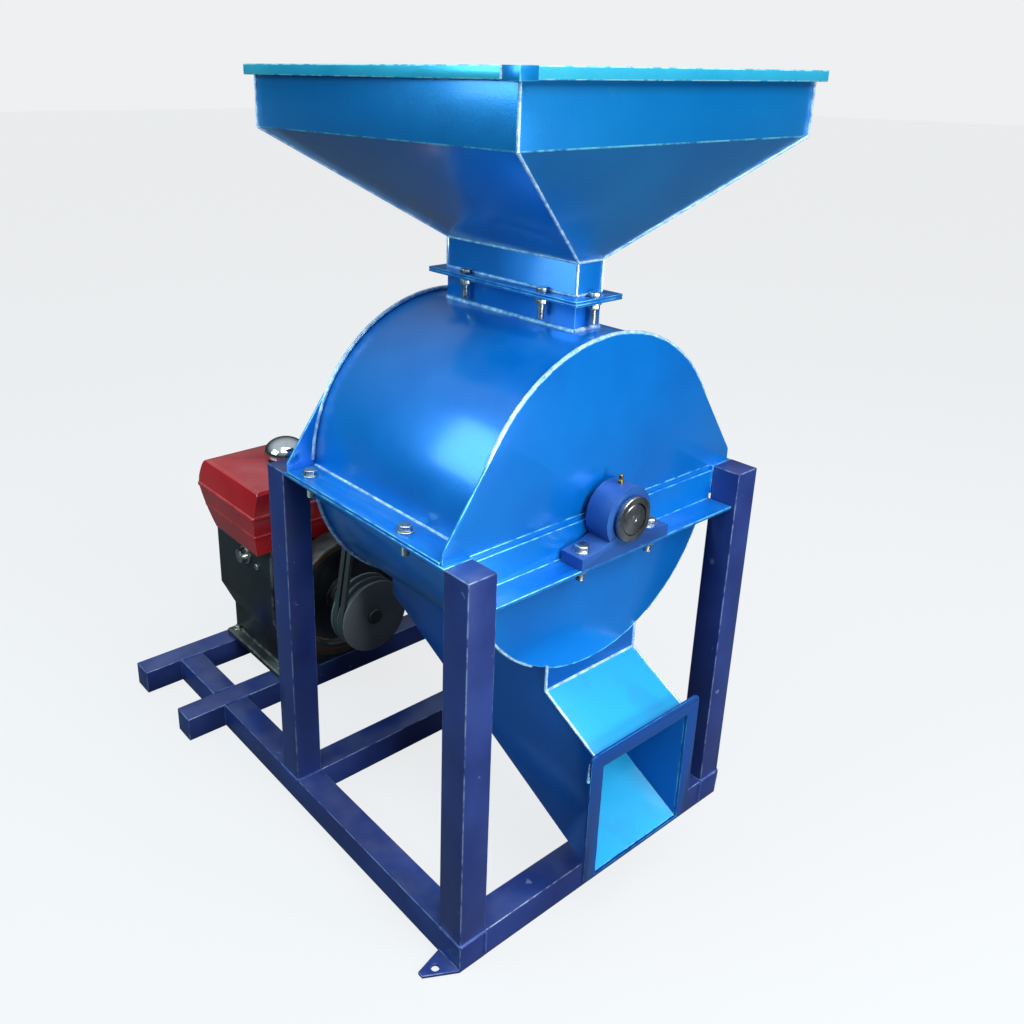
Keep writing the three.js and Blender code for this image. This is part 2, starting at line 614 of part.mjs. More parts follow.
// --------------------------------------------------------------------- chute
// Side outline of the chute between its front wall, sloping floor and mouth.
function chuteOutline(inset, mouthY) {
  const slope = Math.tan(CHUTE_SLOPE);
  const slopeInset = inset / Math.cos(CHUTE_SLOPE);
  const knee = KNEE_Z - slopeInset;
  const front = CHEEK_FRONT + inset;
  const rear = CHEEK_REAR - inset;
  const roof = (y) => knee + (y - CHEEK_FRONT) * slope;
  const floor = (y) => MOUTH_BOTTOM + slopeInset + (y + CHUTE_REACH) * slope;
  return polygon([
    [mouthY, roof(mouthY)], [mouthY, floor(mouthY)], [rear, floor(rear)],
    [rear, AXIS_Z - SHELL_R / 2], [front, AXIS_Z - SHELL_R / 2], [front, roof(front)]]);
}

function dischargeChute() {
  const half = CHUTE_WIDTH / 2;
  const inside = half - CHUTE_WALL;
  return cut(alongX(chuteOutline(0, -CHUTE_REACH), -half, half),
    alongX(chuteOutline(CHUTE_WALL, -CHUTE_REACH - CHUTE_WALL), -inside, inside),
    barY(CHEEK_R + GAP, 0, SHELL_FRONT, 0, AXIS_Z, DRUM_SIDES),
    barY(SHELL_R + GAP, 0, FRAME_DEPTH, 0, AXIS_Z, DRUM_SIDES),
    barY(CHEEK_R + GAP, SHELL_REAR, FRAME_DEPTH, 0, AXIS_Z, DRUM_SIDES));
}

// Flat lip welded round the mouth, to tie a sack to.
function chuteLip() {
  const slopeInset = CHUTE_WALL / Math.cos(CHUTE_SLOPE);
  const half = CHUTE_WIDTH / 2 + LIP_WIDTH;
  const top = MOUTH_BOTTOM + MOUTH_HEIGHT + LIP_WIDTH;
  const shape = new THREE.Shape();
  shape.moveTo(-half, MOUTH_BOTTOM);
  shape.lineTo(half, MOUTH_BOTTOM);
  shape.lineTo(half, top - LIP_CORNER_R);
  shape.absarc(half - LIP_CORNER_R, top - LIP_CORNER_R, LIP_CORNER_R, 0, Math.PI / 2, false);
  shape.lineTo(-half + LIP_CORNER_R, top);
  shape.absarc(-half + LIP_CORNER_R, top - LIP_CORNER_R, LIP_CORNER_R, Math.PI / 2, Math.PI, false);
  shape.closePath();
  const inside = CHUTE_WIDTH / 2 - CHUTE_WALL;
  const y1 = -CHUTE_REACH - GAP;
  const y0 = y1 - LIP_THICKNESS;
  return cut(alongY(shape, y0, y1, 6), block(
    [-inside, y0 - 1, MOUTH_BOTTOM + slopeInset],
    [inside, y1 + 1, MOUTH_BOTTOM + MOUTH_HEIGHT - slopeInset]));
}

function buildChute() {
  const chute = new THREE.Group();
  place(chute, 'discharge_chute', dischargeChute(), casingBlue);
  place(chute, 'chute_lip', chuteLip(), casingBlue);
  return chute;
}

// ------------------------------------------------------------------- bearings
function pillowBlock() {
  const half = BEARING_LENGTH / 2;
  const sole = -BEARING_HEIGHT + GAP;
  const top = sole + BEARING_FOOT_HEIGHT;
  const shoulder = Math.sqrt(BEARING_R ** 2 - (BEARING_R * 0.6) ** 2);
  const y0 = -BEARING_WIDTH / 2;
  const y1 = BEARING_WIDTH / 2;
  const outline = polygon([
    [-half, sole], [half, sole], [half, top], [BEARING_R * 1.25, top + 4],
    [shoulder, -BEARING_R * 0.6], [shoulder, 0], [-shoulder, 0],
    [-shoulder, -BEARING_R * 0.6], [-BEARING_R * 1.25, top + 4], [-half, top]]);
  const body = join(alongY(outline, y0, y1), barY(BEARING_R, y0, y1),
    barY(BEARING_BOSS_R, y0 - BEARING_BOSS_REACH, y1 + BEARING_BOSS_REACH));
  const bolts = [-1, 1].map((side) => (
    barZ(FLANGE_BOLT_R, sole - 1, top + 5, side * BEARING_BOLT_SPREAD / 2, 0)));
  return cut(body, boreY(JOURNAL_R, -BEARING_WIDTH, BEARING_WIDTH), ...bolts);
}

function buildBearings() {
  const bearings = new THREE.Group();
  bearings.position.z = AXIS_Z;
  place(bearings, 'bearing_front', pillowBlock(), castIron, [0, BEARING_FRONT_Y - BEARING_BOSS_REACH, 0]);
  place(bearings, 'bearing_rear', pillowBlock(), castIron, [0, BEARING_REAR_Y + BEARING_BOSS_REACH, 0]);
  return bearings;
}

// --------------------------------------------------------------------- rotor
function rotorShaft() {
  const front = BEARING_FRONT_Y - BEARING_WIDTH / 2 - 2 * BEARING_BOSS_REACH - JOURNAL_STUB;
  const rear = PULLEY_Y + PULLEY_WIDTH / 2 + JOURNAL_STUB;
  const end = JOURNAL_R - SHAFT_CHAMFER;
  return turned([
    [0, front], [end, front], [JOURNAL_R, front + SHAFT_CHAMFER],
    [JOURNAL_R, CHEEK_FRONT], [SHAFT_R, CHEEK_FRONT], [SHAFT_R, CHEEK_REAR], [JOURNAL_R, CHEEK_REAR],
    [JOURNAL_R, rear - SHAFT_CHAMFER], [end, rear], [0, rear]]);
}

// Place of each hammer pin around the rotor axis, as [x, z].
function pinPlace(index) {
  const angle = (Math.PI * 2 * (index + 0.5)) / PINS;
  return [PIN_CIRCLE_R * Math.cos(angle), PIN_CIRCLE_R * Math.sin(angle)];
}

function rotorDisc() {
  const half = DISC_THICKNESS / 2;
  const pins = Array.from({ length: PINS }, (_, index) => {
    const [x, z] = pinPlace(index);
    return barY(PIN_R + GAP, -half - 1, half + 1, x, z, HOLE_SIDES);
  });
  return cut(barY(DISC_R, -half, half, 0, 0, ROUND_SIDES),
    barY(SHAFT_R + GAP, -half - 1, half + 1), ...pins);
}

// Swinging hammer: a flat bar on a sleeve that fills the space between discs.
function hammer(offset) {
  const sleeve = (DISC_PITCH - DISC_THICKNESS) / 2 - GAP;
  const y0 = offset - HAMMER_THICKNESS / 2;
  const y1 = offset + HAMMER_THICKNESS / 2;
  const round = (radius, from, to) => barY(radius, from, to, 0, 0, HOLE_SIDES);
  const bar = block([-HAMMER_WIDTH / 2, y0, -HAMMER_REACH], [HAMMER_WIDTH / 2, y1, 0]);
  const body = join(round(HAMMER_HUB_R, -sleeve, sleeve), bar, round(HAMMER_WIDTH / 2, y0, y1));
  return cut(body, boreY(PIN_R, -sleeve - 1, sleeve + 1, HOLE_SIDES));
}

function pulley(radius, bore, hubReach) {
  const half = PULLEY_WIDTH / 2;
  const depth = BELT_THICKNESS + BELT_SEAT * 2;
  const root = BELT_WIDTH / 2 + BELT_SEAT;
  const mouth = root + GROOVE_FLARE;
  const end = half + hubReach;
  const profile = [[bore, -half], [radius, -half]];
  for (let index = 0; index < BELTS; index += 1) {
    const centre = (index - (BELTS - 1) / 2) * BELT_PITCH;
    profile.push([radius, centre - mouth], [radius - depth, centre - root],
      [radius - depth, centre + root], [radius, centre + mouth]);
  }
  profile.push([radius, half], [PULLEY_HUB_R, half], [PULLEY_HUB_R, end], [bore, end], [bore, -half]);
  return turned(profile, ROUND_SIDES);
}

function buildRotor() {
  const rotor = new THREE.Group();
  rotor.position.z = AXIS_Z;
  place(rotor, 'rotor_shaft', rotorShaft(), steel);
  const pinReach = DISC_PITCH + DISC_THICKNESS / 2 + PIN_STUB;
  for (let index = 0; index < 3; index += 1) {
    const discY = MID_Y + (index - 1) * DISC_PITCH;
    place(rotor, `rotor_disc_${index + 1}`, rotorDisc(), steel, [0, discY, 0]);
  }
  for (let index = 0; index < PINS; index += 1) {
    const [x, z] = pinPlace(index);
    const pin = barY(PIN_R, -pinReach, pinReach, 0, 0, HOLE_SIDES);
    place(rotor, `hammer_pin_${index + 1}`, pin, steel, [x, MID_Y, z]);
    for (const [bay, side] of [['front', -1], ['rear', 1]]) {
      const offset = (index % 2 ? 1 : -1) * HAMMER_STAGGER * side;
      place(rotor, `hammer_${bay}_${index + 1}`, hammer(offset), castIron,
        [x, MID_Y + (side * DISC_PITCH) / 2, z]);
    }
  }
  place(rotor, 'mill_pulley', pulley(MILL_PULLEY_R, JOURNAL_R + GAP, 0), castIron, [0, PULLEY_Y, 0]);
  return rotor;
}

// ---------------------------------------------------------------- belt drive
// Closed loop round both pulleys, as an outline in X and Z.
function beltLoop(inset) {
  const mill = MILL_PULLEY_R - BELT_SEAT - inset;
  const engine = ENGINE_PULLEY_R - BELT_SEAT - inset;
  const dx = -CRANK_X;
  const dz = AXIS_Z - CRANK_Z;
  const heading = Math.atan2(dz, dx);
  const spread = Math.acos((engine - mill) / Math.hypot(dx, dz));
  const loop = new THREE.Shape();
  loop.absarc(0, AXIS_Z, mill, heading - spread, heading + spread, false);
  loop.absarc(CRANK_X, CRANK_Z, engine, heading + spread, heading - spread + 2 * Math.PI, false);
  loop.closePath();
  return loop;
}

function buildBelts() {
  const belts = new THREE.Group();
  for (let index = 0; index < BELTS; index += 1) {
    const shape = beltLoop(0);
    shape.holes.push(new THREE.Path(beltLoop(BELT_THICKNESS).getPoints(BELT_STEPS).reverse()));
    const centre = PULLEY_Y + (index - (BELTS - 1) / 2) * BELT_PITCH;
    place(belts, `drive_belt_${index + 1}`,
      alongY(shape, centre - BELT_WIDTH / 2, centre + BELT_WIDTH / 2, BELT_STEPS), rubber);
  }
  return belts;
}

// -------------------------------------------------------------------- engine
function engineBlock() {
  const tail = CRANK_X - CRANKCASE_TAIL;
  const nose = CRANK_X + CRANKCASE_NOSE;
  const z = (height) => TUBE + height;
  const sumpTail = tail + SUMP_STEP_TAIL;
  const sumpNose = nose - SUMP_STEP_NOSE;
  const outline = polygon([
    [sumpTail, z(GAP)], [sumpNose, z(GAP)], [sumpNose, z(SUMP_TOP_NOSE)], [nose, z(CYLINDER_BOTTOM)],
    [nose, z(CYLINDER_TOP)], [CRANK_X + CRANKCASE_STEP[1], z(CYLINDER_TOP)],
    [CRANK_X + CRANKCASE_STEP[0], z(CRANKCASE_TOP)], [tail, z(CRANKCASE_TOP)],
    [tail, z(SUMP_SLOPE_TAIL[1])], [sumpTail, z(SUMP_SLOPE_TAIL[0])]]);
  const soles = block(
    [sumpTail - SOLE_REACH, BLOCK_FRONT, z(GAP)], [sumpNose + SOLE_REACH, BLOCK_REAR, z(SOLE_THICKNESS)]);
  return join(alongY(outline, BLOCK_FRONT, BLOCK_REAR), soles,
    barY(MAIN_BEARING_R, BLOCK_FRONT - MAIN_BEARING_REACH, BLOCK_FRONT + 1, CRANK_X, CRANK_Z));
}

function cylinderHead() {
  const y0 = BLOCK_MID_Y - HEAD_WIDTH / 2;
  const y1 = BLOCK_MID_Y + HEAD_WIDTH / 2;
  const end = HEAD_X + HEAD_LENGTH;
  const joint = end - ROCKER_COVER_REACH;
  const inset = ROCKER_COVER_INSET;
  return join(
    block([HEAD_X, y0, TUBE + HEAD_BOTTOM], [joint + 1, y1, TUBE + HEAD_TOP]),
    block([joint, y0 + inset, TUBE + HEAD_BOTTOM + inset], [end, y1 - inset, TUBE + HEAD_TOP - inset]));
}

function radiator() {
  const x1 = CRANK_X + CRANKCASE_NOSE;
  const x0 = x1 - RADIATOR_LENGTH;
  const bottom = TUBE + CYLINDER_TOP + GAP;
  const top = bottom + RADIATOR_HEIGHT;
  const half = RADIATOR_WIDTH / 2;
  const outline = polygon([
    [x0, bottom], [x1, bottom], [x1, top - RADIATOR_CHAMFER], [x1 - RADIATOR_CHAMFER, top],
    [x0 + RADIATOR_CHAMFER, top], [x0, top - RADIATOR_CHAMFER]]);
  return alongY(outline, BLOCK_MID_Y - half, BLOCK_MID_Y + half);
}

// Tank with a ridge along each side and a rear end that tapers in below.
function fuelTank() {
  const x1 = TANK_X + TANK_LENGTH;
  const top = TANK_Z + TANK_HEIGHT;
  const y0 = BLOCK_FRONT - TANK_FRONT_REACH;
  const y1 = y0 + TANK_WIDTH;
  const ridge = TANK_Z + TANK_RIDGE_HEIGHT;
  const crown = TANK_CROWN_INSET;
  const round = TANK_CROWN_ROUND;
  const section = polygon([
    [TANK_X + TANK_BASE_INSET, TANK_Z], [x1 - TANK_BASE_INSET, TANK_Z], [x1, ridge],
    [x1 - crown + round, top - round / 2], [x1 - crown, top], [TANK_X + crown, top],
    [TANK_X + crown - round, top - round / 2], [TANK_X, ridge]]);
  const side = new THREE.Shape();
  side.moveTo(y0, TANK_Z);
  side.lineTo(y1 - TANK_TAPER, TANK_Z);
  side.quadraticCurveTo(y1 - TANK_TAPER / 5, TANK_Z + TANK_TAPER_HEIGHT * 0.45,
    y1, TANK_Z + TANK_TAPER_HEIGHT);
  side.quadraticCurveTo(y1, top, y1 - TANK_REAR_ROUND, top);
  side.lineTo(y0 + round, top);
  side.lineTo(y0, top - round);
  side.closePath();
  const body = common(alongY(section, y0 - 1, y1 + 1), alongX(side, TANK_X - 1, x1 + 1));
  const [fillerX, fillerY] = fillerPlace();
  return join(body, barZ(FILLER_R, top - 2, top + FILLER_HEIGHT, fillerX, fillerY));
}

function fillerPlace() {
  return [TANK_X + TANK_LENGTH - FILLER_INSET[0], BLOCK_MID_Y - FILLER_INSET[1]];
}

function fuelCap() {
  const bore = FILLER_R + GAP;
  const ceiling = FILLER_HEIGHT + GAP;
  const waist = CAP_R - 6;
  return turned([
    [bore, GAP], [waist, GAP], [waist, CAP_NECK_HEIGHT], [CAP_R, CAP_NECK_HEIGHT + 4],
    [CAP_R - 2, CAP_NECK_HEIGHT + 14],
    [CAP_R * 0.72, CAP_HEIGHT - 8], [CAP_R * 0.4, CAP_HEIGHT - 1], [0, CAP_HEIGHT],
    [0, ceiling], [bore, ceiling], [bore, GAP]])
    .rotateX(Math.PI / 2);
}

// Flywheel on the crank's nose, which carries the engine pulley.
function flywheel(noseEnd) {
  const half = FLYWHEEL_WIDTH / 2;
  const rim = FLYWHEEL_R - FLYWHEEL_RIM;
  const web = FLYWHEEL_WEB / 2;
  const hub = PULLEY_HUB_R + 4;
  const rear = half + FLYWHEEL_TO_BLOCK - MAIN_BEARING_REACH - 2 * GAP;
  const face = -half + FLYWHEEL_HUB_INSET;
  return turned([
    [0, noseEnd], [CRANK_R, noseEnd], [CRANK_R, face], [hub, face], [hub, -web], [rim, -web],
    [rim, -half], [FLYWHEEL_R, -half], [FLYWHEEL_R, half], [rim, half], [rim, web], [hub, web],
    [hub, rear], [0, rear]], ROUND_SIDES + 8);
}

// Upright can on the head, with a short neck under it.
function can(y, radius, height) {
  const base = TUBE + HEAD_TOP + GAP;
  return turned([
    [0, 0], [CAN_NECK_R, 0], [CAN_NECK_R, CAN_NECK_HEIGHT], [radius - CAN_ROUND, CAN_NECK_HEIGHT],
    [radius, CAN_NECK_HEIGHT + CAN_ROUND], [radius, height - CAN_ROUND], [radius - CAN_ROUND, height],
    [0, height]]).rotateX(Math.PI / 2).translate(HEAD_X + CAN_INSET, BLOCK_MID_Y + y, base);
}

function throttleLever() {
  const y0 = -LEVER_THICKNESS;
  return join(barY(LEVER_WIDTH * 0.8, y0 - 3, 0, 0, 0, HOLE_SIDES),
    block([-LEVER_WIDTH / 2, y0, 0], [LEVER_WIDTH / 2, 0, LEVER_LENGTH]),
    barY(LEVER_WIDTH * 0.75, y0 - 14, 0, 0, LEVER_LENGTH, HOLE_SIDES));
}

function buildEngine() {
  const engine = new THREE.Group();
  place(engine, 'engine_block', engineBlock(), engineBlack);
  place(engine, 'cylinder_head', cylinderHead(), castIron);
  place(engine, 'radiator_tank', radiator(), engineBlack);
  place(engine, 'fuel_tank', fuelTank(), tankRed);
  const [fillerX, fillerY] = fillerPlace();
  place(engine, 'fuel_cap', fuelCap(), chrome, [fillerX, fillerY, TANK_Z + TANK_HEIGHT]);
  const wheelY = BLOCK_FRONT - FLYWHEEL_TO_BLOCK - FLYWHEEL_WIDTH / 2;
  const noseEnd = PULLEY_Y - PULLEY_WIDTH / 2 - CRANK_STUB - wheelY;
  place(engine, 'flywheel', flywheel(noseEnd), castIron, [CRANK_X, wheelY, CRANK_Z]);
  const hubEnd = wheelY - FLYWHEEL_WIDTH / 2 + FLYWHEEL_HUB_INSET - GAP;
  const hubReach = hubEnd - (PULLEY_Y + PULLEY_WIDTH / 2);
  place(engine, 'engine_pulley', pulley(ENGINE_PULLEY_R, CRANK_R + GAP, hubReach), castIron,
    [CRANK_X, PULLEY_Y, CRANK_Z]);
  place(engine, 'silencer', can(CAN_PITCH / 2, SILENCER_R, SILENCER_HEIGHT), castIron);
  place(engine, 'air_cleaner', can(-CAN_PITCH / 2, CLEANER_R, CLEANER_HEIGHT), engineBlack);
  place(engine, 'throttle_lever', throttleLever(), steel,
    [CRANK_X + CRANKCASE_NOSE - LEVER_INSET[0], BLOCK_FRONT - GAP, TUBE + CYLINDER_TOP - LEVER_INSET[1]]);
  return engine;
}

machine.add(buildFrame(), buildLedges(), buildSideRails(), buildCasing(), buildHopper(),
  buildChute(), buildBearings(), buildRotor(), buildBelts(), buildEngine());

export default machine;
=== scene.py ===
"""Looks of a hammer mill with a belt drive and a small flat diesel engine.

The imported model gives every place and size. Each sub-assembly is a class that dresses its
own nodes, adds the fasteners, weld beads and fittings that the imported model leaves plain,
and lets each piece ride on the body that it belongs to. Lengths are in metres.
"""

import json
import logging
import math
from dataclasses import dataclass, field, replace
from enum import Enum
from typing import Callable, Sequence

import bpy
from mathutils import Matrix, Vector

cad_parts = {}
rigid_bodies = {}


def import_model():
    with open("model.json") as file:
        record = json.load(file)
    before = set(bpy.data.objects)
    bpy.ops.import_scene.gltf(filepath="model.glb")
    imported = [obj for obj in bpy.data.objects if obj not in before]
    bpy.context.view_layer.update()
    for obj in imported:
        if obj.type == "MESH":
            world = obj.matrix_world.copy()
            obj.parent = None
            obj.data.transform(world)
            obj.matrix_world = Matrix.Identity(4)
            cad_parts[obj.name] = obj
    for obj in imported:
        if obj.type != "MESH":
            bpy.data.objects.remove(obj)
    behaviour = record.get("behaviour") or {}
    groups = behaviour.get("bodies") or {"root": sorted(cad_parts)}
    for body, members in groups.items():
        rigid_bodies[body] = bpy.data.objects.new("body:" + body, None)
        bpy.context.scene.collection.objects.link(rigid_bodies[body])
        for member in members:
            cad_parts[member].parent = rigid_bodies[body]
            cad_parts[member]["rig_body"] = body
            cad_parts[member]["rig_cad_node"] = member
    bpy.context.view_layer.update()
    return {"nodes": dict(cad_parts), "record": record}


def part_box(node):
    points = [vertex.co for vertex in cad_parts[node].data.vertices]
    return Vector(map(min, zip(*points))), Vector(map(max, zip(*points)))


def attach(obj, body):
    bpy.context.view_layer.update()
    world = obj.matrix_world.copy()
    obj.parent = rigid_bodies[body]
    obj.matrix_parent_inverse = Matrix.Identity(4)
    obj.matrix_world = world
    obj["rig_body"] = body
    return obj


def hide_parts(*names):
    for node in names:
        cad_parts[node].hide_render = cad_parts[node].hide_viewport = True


log = logging.getLogger("hammer_mill")

Point = tuple[float, float, float]


class Axis(Enum):
    """A direction along which a turned or bolted piece lies."""

    X = (1.0, 0.0, 0.0)
    Y = (0.0, 1.0, 0.0)
    Z = (0.0, 0.0, 1.0)
    DOWN = (0.0, 0.0, -1.0)
    FRONT = (0.0, -1.0, 0.0)
    LEFT = (-1.0, 0.0, 0.0)

    @property
    def turn(self) -> Matrix:
        """Rotation that brings +Z onto this direction."""
        return Vector(self.value).to_track_quat("Z", "Y").to_matrix().to_4x4()


# --------------------------------------------------------------------------- node groups
def new_group(name: str, inputs: dict[str, float], outputs: dict[str, str]) -> bpy.types.NodeTree:
    """Starts a shader node group.

    Args:
        name: the group's name.
        inputs: name and first value of each float input.
        outputs: name and socket type of each output.

    Returns:
        The node tree, with its input and output nodes named "in" and "out".
    """
    tree = bpy.data.node_groups.new(name, "ShaderNodeTree")
    for key, value in inputs.items():
        socket = tree.interface.new_socket(key, in_out="INPUT", socket_type="NodeSocketFloat")
        socket.default_value = value
    for key, kind in outputs.items():
        tree.interface.new_socket(key, in_out="OUTPUT", socket_type=kind)
    tree.nodes.new("NodeGroupInput").name = "in"
    tree.nodes.new("NodeGroupOutput").name = "out"
    return tree


def noise(tree: bpy.types.NodeTree, scale: float | bpy.types.NodeSocket, detail: float = 3.0,
          stretch: Point = (1.0, 1.0, 1.0)) -> bpy.types.NodeSocket:
    """Adds a noise texture on Object coordinates.

    Args:
        tree: the tree to add it to.
        scale: cells in a metre, as a number or as a socket to read.
        detail: octaves of the noise.
        stretch: how much finer the pattern is along each axis.

    Returns:
        The noise's value socket.
    """
    place = tree.nodes.new("ShaderNodeTexCoord")
    turn = tree.nodes.new("ShaderNodeMapping")
    turn.inputs["Scale"].default_value = stretch
    texture = tree.nodes.new("ShaderNodeTexNoise")
    texture.inputs["Detail"].default_value = detail
    tree.links.new(place.outputs["Object"], turn.inputs["Vector"])
    tree.links.new(turn.outputs["Vector"], texture.inputs["Vector"])
    if isinstance(scale, bpy.types.NodeSocket):
        tree.links.new(scale, texture.inputs["Scale"])
    else:
        texture.inputs["Scale"].default_value = scale
    return texture.outputs["Fac"]


def spread(tree: bpy.types.NodeTree, value: bpy.types.NodeSocket, low: float, high: float,
           start: float = 0.0, end: float = 1.0) -> bpy.types.NodeSocket:
    """Maps a value from low..high to start..end, smoothly and clamped.

    Args:
        tree: the tree to add the node to.
        value: the socket to map.
        low: value that gives start.
        high: value that gives end.
        start: lower result.
        end: upper result.

    Returns:
        The mapped socket.
    """
    node = tree.nodes.new("ShaderNodeMapRange")
    node.interpolation_type = "SMOOTHSTEP"
    for key, number in (("From Min", low), ("From Max", high), ("To Min", start), ("To Max", end)):
        node.inputs[key].default_value = number
    tree.links.new(value, node.inputs["Value"])
    return node.outputs["Result"]


def combine(tree: bpy.types.NodeTree, operation: str, first: bpy.types.NodeSocket,
            second: bpy.types.NodeSocket | float) -> bpy.types.NodeSocket:
    """Adds a math node on two values and returns its result.

    Args:
        tree: the tree to add the node to.
        operation: the math node's operation.
        first: first operand.
        second: second operand, a socket or a number.

    Returns:
        The result socket, clamped to 0..1.
    """
    node = tree.nodes.new("ShaderNodeMath")
    node.operation = operation
    node.use_clamp = True
    tree.links.new(first, node.inputs[0])
    if isinstance(second, bpy.types.NodeSocket):
        tree.links.new(second, node.inputs[1])
    else:
        node.inputs[1].default_value = second
    return node.outputs["Value"]


def wear_and_glint_group() -> bpy.types.NodeTree:
    """Mask of paint rubbed off along edges and in stray chips; where the worn colour is near white, as on the
    hopper rim and the welds, the mask paints highlights.

    Returns:
        A group with inputs Edge and Chips and the output Mask.
    """
    tree = new_group("edge_wear_and_glint", {"Edge": 0.6, "Chips": 0.1}, {"Mask": "NodeSocketFloat"})
    entry, leave = tree.nodes["in"], tree.nodes["out"]
    edge = tree.nodes.new("ShaderNodeAttribute")
    edge.attribute_name = "edge"
    broken = spread(tree, noise(tree, 55.0, 4.0), 0.36, 0.6)
    along_edge = combine(tree, "MULTIPLY", combine(tree, "MULTIPLY", edge.outputs["Fac"], broken),
                         entry.outputs["Edge"])
    stray = spread(tree, noise(tree, 38.0, 6.0), 0.70, 0.74)
    chips = combine(tree, "MULTIPLY", stray, entry.outputs["Chips"])
    tree.links.new(combine(tree, "MAXIMUM", along_edge, chips), leave.inputs["Mask"])
    return tree


def mottle_and_glint_group() -> bpy.types.NodeTree:
    """Slow change of tone over a sprayed or cast surface, with fine flecks; on the welds, whose lighter
    colour is near white, the lighter clouds are painted glints.

    Returns:
        A group with inputs Cloud, Speckle and Fleck and the output Shade, around 0.5.
    """
    tree = new_group("mottle_and_glint", {"Cloud": 7.0, "Speckle": 420.0, "Fleck": 0.2},
                     {"Shade": "NodeSocketFloat"})
    entry, leave = tree.nodes["in"], tree.nodes["out"]
    cloud = spread(tree, noise(tree, entry.outputs["Cloud"], 3.0), 0.2, 0.8, 0.0, 0.8)
    fleck = spread(tree, noise(tree, entry.outputs["Speckle"], 2.0), 0.3, 0.75)
    fleck = combine(tree, "MULTIPLY", fleck, entry.outputs["Fleck"])
    tree.links.new(combine(tree, "ADD", cloud, fleck), leave.inputs["Shade"])
    return tree


def dust_and_highlight_group() -> bpy.types.NodeTree:
    """Dust and meal that settle on faces that look up; on the chute, with a pale cyan tint, the same mask is
    a painted highlight.

    Returns:
        A group with inputs Amount and Even, which is 1 for an unbroken film, and the output Mask.
    """
    tree = new_group("settled_dust_and_highlight", {"Amount": 0.2, "Even": 0.0}, {"Mask": "NodeSocketFloat"})
    entry, leave = tree.nodes["in"], tree.nodes["out"]
    geometry = tree.nodes.new("ShaderNodeNewGeometry")
    apart = tree.nodes.new("ShaderNodeSeparateXYZ")
    tree.links.new(geometry.outputs["Normal"], apart.inputs["Vector"])
    upward = spread(tree, apart.outputs["Z"], 0.25, 0.95)
    patchy = spread(tree, noise(tree, 16.0, 5.0), 0.35, 0.75)
    patchy = combine(tree, "ADD", patchy, entry.outputs["Even"])
    tree.links.new(combine(tree, "MULTIPLY", combine(tree, "MULTIPLY", upward, patchy),
                           entry.outputs["Amount"]), leave.inputs["Mask"])
    return tree


def skin_group() -> bpy.types.NodeTree:
    """Height of a surface's texture: orange peel or cast grain, with scratches.

    Returns:
        A group with inputs Grain and Scratch and the output Height.
    """
    tree = new_group("surface_grain", {"Grain": 700.0, "Scratch": 0.2}, {"Height": "NodeSocketFloat"})
    entry, leave = tree.nodes["in"], tree.nodes["out"]
    peel = noise(tree, entry.outputs["Grain"], 2.0)
    lines = spread(tree, noise(tree, 90.0, 2.0, (1.0, 14.0, 1.0)), 0.62, 0.7)
    lines = combine(tree, "MULTIPLY", lines, entry.outputs["Scratch"])
    tree.links.new(combine(tree, "SUBTRACT", peel, lines), leave.inputs["Height"])
    return tree


def shared(name: str, maker: Callable[[], bpy.types.NodeTree]) -> bpy.types.NodeTree:
    """The node group of that name, made on its first use."""
    return bpy.data.node_groups.get(name) or maker()


# ------------------------------------------------------------------------------ finishes
Colour = tuple[float, float, float]


def linear(red: int, green: int, blue: int) -> Colour:
    """A display colour of 0 to 255 in each channel, as scene-linear values."""
    def one(value: int) -> float:
        share = value / 255
        return share / 12.92 if share <= 0.04045 else ((share + 0.055) / 1.055) ** 2.4
    return one(red), one(green), one(blue)


